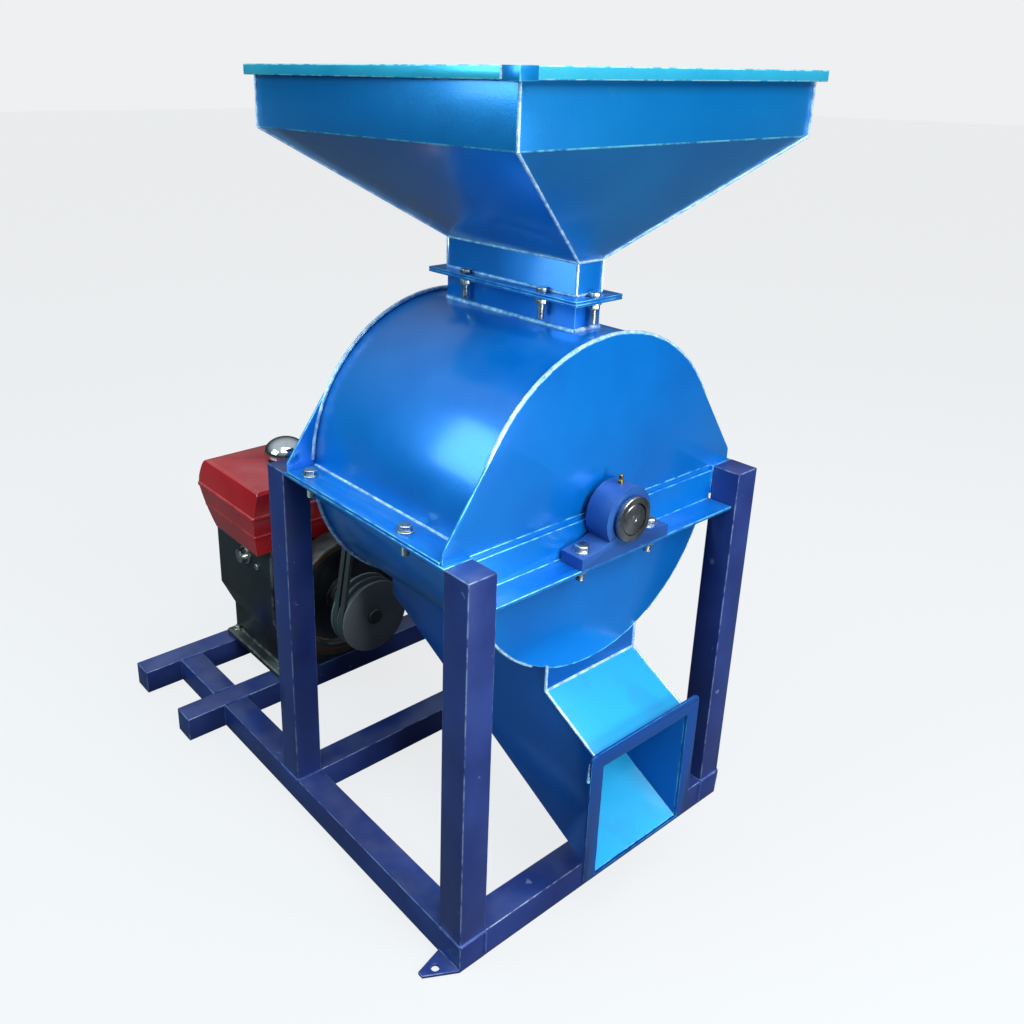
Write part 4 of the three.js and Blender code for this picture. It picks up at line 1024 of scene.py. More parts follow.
@dataclass
class Casing:
    """The round, split casing with its ledges, side rails and split-flange bolts.

    Attributes:
        shop: what the sub-assembly works with.
        plate_edge: rounding of the plates' edges.
        bolt_tail: thread below the split flange's nuts.
    """

    shop: Shop
    plate_edge: float = 0.0012
    bolt_tail: float = 0.018

    def build(self) -> None:
        """Dresses the plates, and adds the rim beads and the bolts."""
        for node in ("upper_shell", "lower_shell", "upper_cheek_front", "upper_cheek_rear",
                     "lower_cheek_front", "lower_cheek_rear", "bearing_ledge_front",
                     "bearing_ledge_rear", "side_rail_left", "side_rail_right"):
            self.shop.adopt(node, PALETTE.casing, self.plate_edge, 2, 40.0)
        self.shop.keep("sizing_screen", PALETTE.steel)
        self.weld_rims()
        self.bolt_split()

    def weld_rims(self) -> None:
        """Beads in the corner between the shell and each end plate."""
        bead = Bead(0.0034, 0.0048)
        low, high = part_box("lower_cheek_front")
        radius = (high.x - low.x) / 2 + 0.0004
        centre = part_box("rotor_shaft")[0].lerp(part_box("rotor_shaft")[1], 0.5)
        shell_low, shell_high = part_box("upper_shell")
        for y in (shell_low.y - 0.0008, shell_high.y + 0.0008):
            bead.run(arc((0.0, y, centre.z), radius, 3.0, 177.0, 96))
        for y in (shell_low.y - 0.0008, shell_high.y + 0.0008):
            bead.run(arc((0.0, y, centre.z), radius, 183.0, 240.0, 32))
            bead.run(arc((0.0, y, centre.z), radius, 300.0, 357.0, 32))
        bead.done("rim_welds", PALETTE.bead, "frame", "casing_paint")
        flange = Bead(0.0026)
        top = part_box("side_rail_left")[1].z + 0.0055
        for sign in (-1.0, 1.0):
            x = sign * (radius - 0.002)
            flange.run([(x, shell_low.y + 0.004, top), (x, shell_high.y - 0.004, top)])
        flange.done("split_flange_welds", PALETTE.bead, "frame", "casing_paint")

    def bolt_split(self) -> None:
        """Four bolts through the split flange and the side rails."""
        bolts = Fasteners(0.019, 0.012, "frame", "split_bolts")
        low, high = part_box("upper_shell")
        for side in ("left", "right"):
            rail_low, rail_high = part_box(f"side_rail_{side}")
            sign = -1.0 if side == "left" else 1.0
            outer = max(abs(rail_low.x), abs(rail_high.x))
            x = sign * (outer - 0.022)
            top = rail_high.z + 0.0053
            for y in (low.y + 0.1017, high.y - 0.0357):
                bolts.head((x, y, top), Axis.Z)
                bolts.nut((x, y, rail_high.z - 0.005), Axis.DOWN, self.bolt_tail)
        bolts.done()


@dataclass
class Hopper:
    """Inlet collar, neck, hopper pan and folded rim.

    Attributes:
        shop: what the sub-assembly works with.
        tail: thread that hangs below the flange nuts.
        spread: distance between the side bolts.
        corner_lap: reach of the rim's corner patch along the side and the front.
    """

    shop: Shop
    tail: float = 0.024
    spread: float = 0.17
    corner_lap: tuple[float, float] = (0.028, 0.026)

    def build(self) -> None:
        """Dresses the sheet metal and adds seams, rim corners and flange bolts."""
        for node in ("inlet_collar", "hopper_neck"):
            self.shop.adopt(node, PALETTE.casing, 0.001, 2)
        self.shop.adopt("hopper_pan", PALETTE.hopper, 0.0014, 3, 20.0)
        self.shop.adopt("hopper_rim", PALETTE.rim, 0.0014, 3, 20.0)
        self.bolt_flange()
        self.weld_seams()
        self.rim_corner()

    def bolt_flange(self) -> None:
        """Six bolts that hang through the inlet flange."""
        bolts = Fasteners(0.016, 0.010, "frame", "inlet_bolts")
        low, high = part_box("inlet_collar")
        top = high.z + 0.0043
        middle = (low.y + high.y) / 2
        x, y = high.x - 0.011, high.y - middle - 0.011
        places = [(side * x, middle + end * self.spread / 2) for side in (-1, 1) for end in (-1, 1)]
        places += [(0.0, middle - y), (0.0, middle + y)]
        for place in places:
            bolts.head((*place, top), Axis.Z, washer=False)
            bolts.nut((*place, high.z - 0.004), Axis.DOWN, self.tail)
        bolts.done()

    def weld_seams(self) -> None:
        """Beads down the hopper's corners and round the neck and collar."""
        bead = Bead(0.0024, 0.0045)
        low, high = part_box("hopper_pan")
        neck_low, neck_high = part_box("hopper_neck")
        shoulder = low.z + 0.168
        collar_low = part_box("inlet_collar")[0]
        wall = 0.026, 0.143
        middle = (low.y + high.y) / 2
        for sx in (-1.0, 1.0):
            for sy in (-1.0, 1.0):
                outer = (sx * (high.x + 0.0002), middle + sy * (high.y - middle + 0.0002))
                bead.run([(*outer, shoulder), (*outer, high.z - 0.004)])
                bead.run([(sx * wall[0], middle + sy * wall[1], low.z + 0.001), (*outer, shoulder)])
                neck = (sx * wall[0], middle + sy * wall[1])
                bead.run([(*neck, neck_low.z + 0.006), (*neck, neck_high.z - 0.002)])
        for route in rectangle((-wall[0], middle - wall[1]), (wall[0], middle + wall[1]), neck_high.z):
            bead.run(route)
        for route in rectangle((-wall[0], middle - wall[1]), (wall[0], middle + wall[1]),
                               neck_low.z + 0.0055):
            bead.run(route)
        bead.done("hopper_welds", PALETTE.bead, "frame", "casing_paint")
        foot = Bead(0.0036, 0.005)
        for y in (middle - wall[1], middle + wall[1]):
            foot.run([(-wall[0], y, collar_low.z + 0.002), (0.0, y, collar_low.z + 0.0033),
                      (wall[0], y, collar_low.z + 0.002)])
        for x in (-wall[0], wall[0]):
            foot.run([(x, middle - wall[1], collar_low.z + 0.0015),
                      (x, middle + wall[1], collar_low.z + 0.0015)])
        foot.done("collar_welds", PALETTE.bead, "frame", "casing_paint")

    def rim_corner(self) -> None:
        """Folded patch that laps over the rim's front left corner, with a bead at its end."""
        low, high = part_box("hopper_rim")
        lap, gap = 0.0012, 0.0002
        side, front = self.corner_lap
        patch = Bench.box("rim_corner_lap", (low.x - lap, low.y - lap, low.z - 0.0008),
                          (low.x + front, low.y + side, high.z - 0.0001))
        inner = Bench.box("inside", (low.x - gap, low.y - gap, low.z - 0.01),
                          (low.x + 2 * front, low.y + 2 * side, high.z - lap))
        Bench.round_edges(Bench.cut(patch, inner), 0.0004, 2)
        Bench.finish(patch, PALETTE.hopper, "frame", "casing_paint")
        bead = Bead(0.0016, 0.003)
        bead.run([(low.x - lap, low.y + side, high.z - 0.001), (low.x - lap, low.y + side, low.z + 0.001)])
        bead.done("rim_corner_weld", PALETTE.bead, "frame", "casing_paint")


@dataclass
class Chute:
    """Discharge chute and its lip.

    Attributes:
        shop: what the sub-assembly works with.
        slope: fall of the chute, in degrees.
    """

    shop: Shop
    slope: float = 27.0

    def build(self) -> None:
        """Dresses the chute and lays beads along its folded edges."""
        self.shop.adopt("discharge_chute", PALETTE.chute, 0.0014, 3)
        self.shop.adopt("chute_lip", PALETTE.lip, 0.0014, 3)
        self.weld_edges()

    def weld_edges(self) -> None:
        """Beads along the knee, down the roof's sides and behind the lip."""
        low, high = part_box("discharge_chute")
        lip_low, lip_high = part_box("chute_lip")
        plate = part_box("lower_cheek_front")[0]
        knee = (plate.y, plate.z - 0.022)
        drop = (knee[0] - low.y) * math.tan(math.radians(self.slope))
        mouth_top = knee[1] - drop
        bead = Bead(0.0026, 0.0052)
        bead.run([(low.x + 0.001, knee[0] - 0.0005, knee[1]), (high.x - 0.001, knee[0] - 0.0005, knee[1])])
        for x in (low.x + 0.0005, high.x - 0.0005):
            bead.run([(x, knee[0], knee[1]), (x, low.y + 0.002, mouth_top)])
            bead.run([(x, knee[0], knee[1]), (x, knee[0], knee[1] + 0.045)])
        bead.run([(low.x, low.y + 0.0015, mouth_top + 0.0015), (high.x, low.y + 0.0015, mouth_top + 0.0015)])
        for x in (low.x - 0.0005, high.x + 0.0005):
            bead.run([(x, low.y + 0.001, low.z + 0.01), (x, low.y + 0.001, mouth_top - 0.004)])
        bead.done("chute_welds", PALETTE.bead, "frame", "casing_paint")
        tail = Bead(0.0035, 0.006)
        tail.run([(lip_low.x + 0.02, lip_high.y + 0.001, lip_high.z - 0.004),
                  (lip_low.x + 0.004, lip_high.y + 0.001, lip_high.z - 0.018),
                  (lip_low.x + 0.001, lip_high.y + 0.001, lip_high.z - 0.046)])
        tail.done("lip_corner_weld", PALETTE.bead, "frame", "casing_paint")


@dataclass
class Bearings:
    """The two pillow blocks, with their races, seals, grease nipples and bolts.

    Attributes:
        shop: what the sub-assembly works with.
        journal: shaft radius in the bearings.
        bolt_spread: distance between a block's bolts.
    """

    shop: Shop
    journal: float = 0.025
    bolt_spread: float = 0.150

    def build(self) -> None:
        """Dresses both pillow blocks."""
        bolts = Fasteners(0.019, 0.012, "frame", "bearing_bolts")
        seals, nipples = [], []
        for end in ("front", "rear"):
            node = f"bearing_{end}"
            self.shop.adopt(node, PALETTE.bearing, 0.003, 3, 24.0)
            low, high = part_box(node)
            axis_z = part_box("rotor_shaft")[0].lerp(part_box("rotor_shaft")[1], 0.5).z
            middle = (low.y + high.y) / 2
            for x in (-self.bolt_spread / 2, self.bolt_spread / 2):
                bolts.head((x, middle, low.z + 0.018), Axis.Z)
                bolts.nut((x, middle, low.z - 0.0053), Axis.DOWN, 0.014)
            for y, way in ((low.y, Axis.FRONT), (high.y, Axis.Y)):
                centre = (0.0, y, axis_z)
                seals.append(Bench.turned("seal", [
                    (self.journal + 0.0006, 0.0), (0.0295, 0.0), (0.0295, 0.0012),
                    (0.0285, 0.0018), (self.journal + 0.0006, 0.0014),
                    (self.journal + 0.0006, 0.0)], centre, way, 48))
            nipples.append(self.nipple((0.0, middle, high.z)))
        bolts.done()
        Bench.finish(Bench.join("bearing_seals", seals), PALETTE.rubber, "frame", "belt_rubber")
        Bench.finish(Bench.join("grease_nipples", nipples), PALETTE.brass, "frame", "bright_steel")

    @staticmethod
    def nipple(at: Sequence[float]) -> bpy.types.Object:
        """A grease nipple that stands on a housing."""
        return Bench.turned("nipple", [
            (0.0, -0.003), (0.0042, -0.003), (0.0042, 0.004), (0.0026, 0.0052), (0.0026, 0.008),
            (0.0036, 0.0095), (0.0034, 0.012), (0.0016, 0.0135), (0.0, 0.0135)], at, Axis.Z, 16)


@dataclass
class Rotor:
    """Shaft, discs, pins, hammers and the mill's pulley.

    Attributes:
        shop: what the sub-assembly works with.
    """

    shop: Shop

    def build(self) -> None:
        """Dresses the rotor's pieces and adds its key and split pins."""
        self.shop.adopt("rotor_shaft", PALETTE.steel, 0.0008, 2, 50.0)
        for index in (1, 2, 3):
            self.shop.adopt(f"rotor_disc_{index}", PALETTE.steel, 0.0008, 2, 50.0)
        for index in (1, 2, 3, 4):
            self.shop.keep(f"hammer_pin_{index}", PALETTE.steel)
            for bay in ("front", "rear"):
                self.shop.adopt(f"hammer_{bay}_{index}", PALETTE.hammer, 0.0008, 2, 50.0)
        self.shop.adopt("mill_pulley", PALETTE.iron, 0.0007, 2, 30.0)
        self.key()
        self.split_pins()
        self.collars()

    def key(self) -> None:
        """The key between the shaft and its pulley, and the centre in the shaft's end."""
        low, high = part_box("mill_pulley")
        shaft_low, shaft_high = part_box("rotor_shaft")
        z = (low.z + high.z) / 2
        key = Bench.box("key", (-0.004, high.y - 0.030, z + 0.0215),
                        (0.004, shaft_high.y - 0.0005, z + 0.0275))
        Bench.round_edges(key, 0.0008, 2)
        Bench.finish(key, PALETTE.steel, "rotor", "bright_steel").name = "pulley_key"
        centre = Bench.turned("shaft_centre", [
            (0.0, -0.002), (0.006, -0.002), (0.006, 0.0004), (0.0045, 0.0006), (0.001, -0.0012),
            (0.0, -0.0012)],
            (0.0, shaft_low.y, z), Axis.FRONT, 24)
        Bench.finish(centre, PALETTE.steel, "rotor", "bright_steel")

    def split_pins(self) -> None:
        """A split pin through each end of each hammer pin."""
        pins = []
        for index in (1, 2, 3, 4):
            low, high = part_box(f"hammer_pin_{index}")
            x, z = (low.x + high.x) / 2, (low.z + high.z) / 2
            for y in (low.y + 0.003, high.y - 0.003):
                wire = Bench.pipe("wire", [
                    (x - 0.002, y, z - 0.013), (x, y, z - 0.009), (x, y, z + 0.009),
                    (x + 0.001, y, z + 0.0125), (x - 0.002, y, z + 0.0145),
                    (x - 0.003, y, z + 0.0115), (x - 0.0005, y, z + 0.009)], 0.0012, 2)
                pins.append(wire)
        Bench.finish(Bench.join("split_pins", pins), PALETTE.zinc, "rotor", "bright_steel")

    def collars(self) -> None:
        """Locking collars between each bearing and end plate."""
        rings = []
        for end in ("front", "rear"):
            low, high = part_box(f"bearing_{end}")
            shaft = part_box("rotor_shaft")
            z = (shaft[0].z + shaft[1].z) / 2
            if end == "front":
                start, way = low.y - 0.0006, Axis.FRONT
                length = 0.006
            else:
                start, way = high.y + 0.0022, Axis.Y
                length = 0.011
            rings.append(Bench.turned("collar", [
                (0.0254, 0.0), (0.0345, 0.0), (0.0352, 0.0008), (0.0352, length - 0.001),
                (0.0342, length), (0.0254, length), (0.0254, 0.0)], (0.0, start, z), way, 48))
        Bench.finish(Bench.join("locking_collars", rings), PALETTE.steel, "rotor", "bright_steel")


@dataclass
class BeltDrive:
    """The two V-belts.

    Attributes:
        shop: what the sub-assembly works with.
        taper: inner width as a share of the outer width.
    """

    shop: Shop
    taper: float = 0.66

    def build(self) -> None:
        """Tapers each belt to its V section."""
        for index in (1, 2):
            self.belt(f"drive_belt_{index}")

    def belt(self, node: str) -> None:
        """One closed belt, wide outside and narrow inside, with a wrapped back."""
        low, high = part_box(node)
        middle = (low.y + high.y) / 2
        piece = self.shop.copy(node)
        upper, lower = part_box("mill_pulley"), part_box("engine_pulley")
        centres = [Vector(((b[0].x + b[1].x) / 2, 0.0, (b[0].z + b[1].z) / 2)) for b in (upper, lower)]
        run = centres[0] - centres[1]

        def faces_inwards(face: bpy.types.MeshPolygon) -> bool:
            along = max(0.0, min(1.0, (face.center - centres[1]).dot(run) / run.length_squared))
            inner = centres[1] + run * along
            flat = Vector((face.center.x, 0.0, face.center.z))
            return abs(face.normal.y) < 0.5 and face.normal.dot(inner - flat) > 0.0

        def taper() -> None:
            bpy.ops.transform.resize(value=(1.0, self.taper, 1.0), center_override=(0.0, middle, 0.0))

        Bench.on_faces(piece, faces_inwards, taper)
        Bench.round_edges(piece, 0.0009, 3, 35.0)
        Bench.finish(piece, PALETTE.rubber, self.shop.body_of[node], self.shop.slot_of[node], node)


@dataclass
class Engine:
    """The small flat diesel engine.

    Attributes:
        shop: what the sub-assembly works with.
        tank_swages: name, height, width and reach of each rolled band on the tank.
        cap_neck: height of the fuel cap's neck.
        cap_wall: from the cap's brim in to its bore.
        knurls: ridges round that neck.
        wheel_gap: room between the crankcase's boss and the flywheel.
        wheel_width: width of the flywheel.
    """

    shop: Shop
    tank_swages: tuple[tuple[str, float, float, float], ...] = (
        ("tank_seam", 0.080, 0.010, 0.0022), ("tank_swage", 0.040, 0.008, 0.0012))
    cap_neck: float = 0.014
    cap_wall: float = 0.0137
    knurls: int = 28
    wheel_gap: float = 0.014
    wheel_width: float = 0.054

    def build(self) -> None:
        """Dresses the engine from its crankcase to its fuel cap."""
        self.crankcase()
        self.head()
        self.cooling()
        self.tank()
        self.cap()
        self.wheel()
        self.cans()
        self.controls()
        self.plumbing()

    def crankcase(self) -> None:
        """Crankcase with side covers, ribs and bolts."""
        self.shop.adopt("engine_block", PALETTE.engine, 0.006, 3, 25.0)
        low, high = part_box("engine_block")
        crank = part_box("engine_pulley")
        x, z = (crank[0].x + crank[1].x) / 2, (crank[0].z + crank[1].z) / 2
        front, rear = low.y + 0.008, high.y
        bolts = Fasteners(0.013, 0.008, "frame", "crankcase_bolts")
        cover = Bench.turned("cover", [
            (0.0, 0.0), (0.094, 0.0), (0.094, 0.005), (0.090, 0.008), (0.064, 0.010), (0.058, 0.014),
            (0.030, 0.016), (0.0, 0.017)], (x, rear, z), Axis.Y, 64)
        covers = [Bench.round_edges(cover, 0.001, 2)]
        for step in range(8):
            angle = math.tau * (step + 0.5) / 8
            place = (x + 0.083 * math.cos(angle), rear + 0.0075, z + 0.083 * math.sin(angle))
            bolts.head(place, Axis.Y, washer=False)
            place = (x + 0.062 * math.cos(angle), low.y, z + 0.062 * math.sin(angle))
            bolts.head(place, Axis.FRONT, washer=False)
        side = Bench.box("side", (low.x + 0.030, rear - 0.001, z + 0.020),
                         (low.x + 0.055, rear + 0.006, high.z - 0.02))
        covers.append(Bench.round_edges(side, 0.002, 2))
        plug_y = (low.y + high.y) / 2 - 0.012
        plug = Bench.turned("breather_plug", [
            (0.0, 0.0), (0.021, 0.0), (0.021, 0.004), (0.017, 0.006), (0.015, 0.012), (0.015, 0.018),
            (0.012, 0.020), (0.0, 0.0205)], (low.x, plug_y, high.z - 0.048), Axis.LEFT, 40)
        Bench.finish(plug, PALETTE.zinc, "frame", "bright_steel")
        bolts.head((low.x, plug_y - 0.048, high.z - 0.058), Axis.LEFT, washer=False)
        for step in range(4):
            rib_x = low.x + 0.022 + 0.028 * step
            if abs(rib_x - x) < 0.075:
                continue
            rib = Bench.box("rib", (rib_x, front - 0.005, low.z + 0.11),
                            (rib_x + 0.006, front + 0.002, high.z - 0.075))
            covers.append(Bench.round_edges(rib, 0.0015, 2))
        for foot_x in (low.x + 0.024, high.x - 0.050):
            for y in (low.y + 0.03, high.y - 0.018):
                bolts.head((foot_x, y, low.z + 0.0137), Axis.Z)
        Bench.finish(Bench.join("crankcase_covers", covers), PALETTE.engine, "frame", "engine_black")
        bolts.done()

    def head(self) -> None:
        """Cylinder head with its rocker cover, studs and fins."""
        self.shop.adopt("cylinder_head", PALETTE.iron, 0.003, 3, 30.0)
        low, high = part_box("cylinder_head")
        fins = []
        for step in range(6):
            z = low.z + 0.022 + 0.022 * step
            fin = Bench.box("fin", (low.x + 0.006, low.y - 0.0045, z),
                            (low.x + 0.038, high.y + 0.0045, z + 0.004))
            fins.append(Bench.round_edges(fin, 0.001, 2))
        rocker = Bench.box("rocker", (high.x - 0.001, low.y + 0.034, low.z + 0.036),
                           (high.x + 0.016, high.y - 0.034, high.z - 0.036))
        fins.append(Bench.round_edges(rocker, 0.006, 4))
        Bench.finish(Bench.join("head_fins", fins), PALETTE.iron, "frame", "cast_iron")
        studs = Fasteners(0.014, 0.009, "frame", "head_studs")
        for y in (low.y + 0.024, high.y - 0.024):
            for z in (low.z + 0.024, (low.z + high.z) / 2, high.z - 0.024):
                studs.head((high.x - 0.0002, y, z), Axis.X, washer=True)
        studs.done()

    def cooling(self) -> None:
        """Cooling tank with louvres and a filler."""
        self.shop.adopt("radiator_tank", PALETTE.engine, 0.004, 3, 25.0)
        low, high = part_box("radiator_tank")
        slats = []
        for step in range(9):
            z = low.z + 0.020 + 0.0105 * step
            slat = Bench.box("slat", (low.x + 0.018, high.y - 0.001, z),
                             (high.x - 0.018, high.y + 0.0035, z + 0.005))
            slats.append(Bench.round_edges(slat, 0.0012, 2))
        Bench.finish(Bench.join("cooling_louvres", slats), PALETTE.iron, "frame", "cast_iron")
        middle = ((low.x + high.x) / 2, low.y + 0.06, high.z)
        filler = Bench.turned("filler", [
            (0.0, -0.002), (0.022, -0.002), (0.022, 0.004), (0.027, 0.005), (0.028, 0.007), (0.028, 0.013),
            (0.026, 0.0155), (0.010, 0.018), (0.0, 0.0185)], middle, Axis.Z, 40)
        Bench.finish(filler, PALETTE.engine, "frame", "engine_black").name = "water_filler_cap"

    def tank(self) -> None:
        """Pressed fuel tank with rounded ends and a rolled seam round its widest part."""
        for name, height, depth, proud in self.tank_swages:
            self.swage(name, height, depth, proud)
        self.shop.adopt("fuel_tank", PALETTE.tank, 0.012, 5, 14.0)

    def swage(self, name: str, height: float, depth: float, proud: float) -> None:
        """A rolled band that follows the tank's outline.

        Args:
            name: piece's name.
            height: band's middle above the tank's floor.
            depth: band's width from top to bottom.
            proud: how far it stands out of the tank.
        """
        low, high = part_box("fuel_tank")
        band = self.shop.copy("fuel_tank")
        band.name = name
        middle = (low + high) / 2
        level = low.z + height

        def slice_off(sign: float) -> None:
            bpy.ops.mesh.select_all(action="SELECT")
            bpy.ops.mesh.bisect(plane_co=(0.0, 0.0, level + sign * depth / 2), plane_no=(0.0, 0.0, sign),
                                use_fill=True, clear_outer=True)

        def shape() -> None:
            slice_off(1.0)
            slice_off(-1.0)
            bpy.ops.mesh.select_all(action="SELECT")
            size = high - low
            bpy.ops.transform.resize(value=(1 + 2 * proud / size.x, 1 + 2 * proud / size.y, 1.0),
                                     center_override=middle)
            bpy.ops.mesh.normals_make_consistent(inside=False)

        Bench.edit(band, shape)
        Bench.round_edges(band, depth * 0.4, 4, 60.0)
        Bench.finish(band, PALETTE.tank, "frame", "tank_red")

    def cap(self) -> None:
        """Domed chrome cap with a rolled brim over a dark, knurled neck."""
        low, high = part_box("fuel_cap")
        x, y = (low.x + high.x) / 2, (low.y + high.y) / 2
        radius, height, brim = (high.x - low.x) / 2, high.z - low.z, self.cap_neck + 0.006
        waist = radius - 0.007
        dome = [(radius * math.sin(a), brim + (height - brim) * math.cos(a))
                for a in (math.radians(6 * step) for step in range(15, 0, -1))]
        profile = [(waist - 0.001, self.cap_neck - 0.001), (radius - 0.002, self.cap_neck),
                   (radius - 0.0002, self.cap_neck + 0.002)] + dome + [
                       (0.0, height), (0.0, height - 0.004), (waist - 0.004, brim - 0.001),
                       (waist - 0.001, self.cap_neck - 0.001)]
        cap = Bench.turned("chrome_cap", profile, (x, y, low.z), Axis.Z, 64)
        Bench.finish(cap, PALETTE.chrome, "fuel_cap", "cap_chrome", "fuel_cap")
        inside = radius - self.cap_wall
        neck = [Bench.turned("neck", [
            (inside, 0.0003), (waist - 0.003, 0.0003), (waist - 0.0015, 0.002), (waist - 0.0015, 0.011),
            (waist - 0.001, self.cap_neck), (inside, self.cap_neck), (inside, 0.0003)],
            (x, y, low.z), Axis.Z, 48)]
        for step in range(self.knurls):
            angle = math.tau * step / self.knurls
            reach = waist - 0.0016
            place = (x + reach * math.cos(angle), y + reach * math.sin(angle), low.z + 0.002)
            neck.append(Bench.bar("knurl", place, 0.0014, 0.009, Axis.Z, 6))
        Bench.finish(Bench.join("cap_neck", neck), PALETTE.engine, "fuel_cap", "cap_chrome")
        vent = Bench.turned("cap_vent", [
            (0.0, -0.002), (0.007, -0.002), (0.007, -0.0004), (0.005, 0.0004), (0.0, 0.0006)],
            (x, y, high.z - 0.0008), Axis.Z, 24)
        Bench.finish(vent, PALETTE.chrome, "fuel_cap", "cap_chrome")

    def wheel(self) -> None:
        """Flywheel with a worn rim, and the engine's pulley."""
        self.shop.adopt("flywheel", PALETTE.engine, 0.002, 3, 30.0)
        self.shop.adopt("engine_pulley", PALETTE.iron, 0.0007, 2, 30.0)
        low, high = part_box("flywheel")
        x, z = (low.x + high.x) / 2, (low.z + high.z) / 2
        radius = (high.x - low.x) / 2
        wheel_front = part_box("engine_block")[0].y - self.wheel_gap - self.wheel_width
        band = Bench.turned("rim_band", [
            (radius - 0.016, -0.0008), (radius - 0.0035, -0.0008), (radius - 0.003, 0.0002),
            (radius - 0.0165, 0.0002), (radius - 0.016, -0.0008)], (x, wheel_front, z), Axis.Y, 96)
        Bench.finish(band, PALETTE.rim_rust, "crank", "cast_iron").name = "flywheel_face"

    def cans(self) -> None:
        """Silencer and air cleaner as turned, beaded cans."""
        for node, finish, bead in (("silencer", PALETTE.iron, 5), ("air_cleaner", PALETTE.engine, 3)):
            low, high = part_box(node)
            x, y = (low.x + high.x) / 2, (low.y + high.y) / 2
            radius, height = (high.x - low.x) / 2, high.z - low.z
            neck = 0.018 if node == "silencer" else 0.020
            profile = [(0.0, 0.0), (neck + 0.006, 0.0), (neck + 0.006, 0.005), (neck, 0.007), (neck, 0.024),
                       (radius - 0.008, 0.026), (radius - 0.003, 0.030), (radius - 0.0015, 0.034)]
            body = height - 0.034 - 0.012
            for step in range(bead):
                z = 0.034 + body * (step + 0.5) / bead
                profile += [(radius - 0.0015, z - 0.004), (radius, z - 0.0015), (radius, z + 0.0015),
                            (radius - 0.0015, z + 0.004)]
            profile += [(radius - 0.0015, height - 0.012), (radius - 0.004, height - 0.005),
                        (radius - 0.010, height - 0.001), (radius * 0.4, height), (0.0, height)]
            can = Bench.turned(f"{node}_can", profile, (x, y, low.z), Axis.Z, 56)
            Bench.finish(can, finish, "frame", self.shop.slot_of[node], node)

    def controls(self) -> None:
        """Throttle lever with its knob, and the plate behind it."""
        self.shop.adopt("throttle_lever", PALETTE.zinc, 0.0012, 3, 30.0)

    def plumbing(self) -> None:
        """Fuel pipe, injector pipe and injection pump."""
        tank_low, tank_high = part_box("fuel_tank")
        block_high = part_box("engine_block")[1]
        head_low, head_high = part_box("cylinder_head")
        fuel = Bench.pipe("fuel_pipe", [
            (tank_high.x - 0.03, tank_high.y - 0.075, tank_low.z + 0.004),
            (tank_high.x - 0.03, tank_high.y - 0.060, tank_low.z - 0.02),
            (tank_high.x - 0.02, block_high.y + 0.012, tank_low.z - 0.05),
            (tank_high.x + 0.03, block_high.y + 0.014, tank_low.z - 0.08),
            (tank_high.x + 0.09, block_high.y + 0.012, tank_low.z - 0.085),
            (tank_high.x + 0.115, block_high.y - 0.002, tank_low.z - 0.10)], 0.004, 3)
        Bench.finish(fuel, PALETTE.rubber, "frame", "belt_rubber")
        injector = Bench.pipe("injector_pipe", [
            (block_high.x - 0.055, block_high.y - 0.004, block_high.z - 0.10),
            (block_high.x - 0.05, block_high.y + 0.016, block_high.z - 0.085),
            (block_high.x - 0.01, block_high.y + 0.02, block_high.z - 0.06),
            (head_low.x + 0.030, head_high.y + 0.022, head_high.z - 0.05),
            (head_low.x + 0.045, head_high.y + 0.004, head_high.z - 0.06)], 0.0026, 3)
        Bench.finish(injector, PALETTE.zinc, "frame", "bright_steel")
        pump = Bench.box("pump", (block_high.x - 0.085, block_high.y - 0.002, block_high.z - 0.165),
                         (block_high.x - 0.038, block_high.y + 0.010, block_high.z - 0.095))
        Bench.round_edges(pump, 0.003, 3)
        Bench.finish(pump, PALETTE.iron, "frame", "cast_iron").name = "injection_pump"


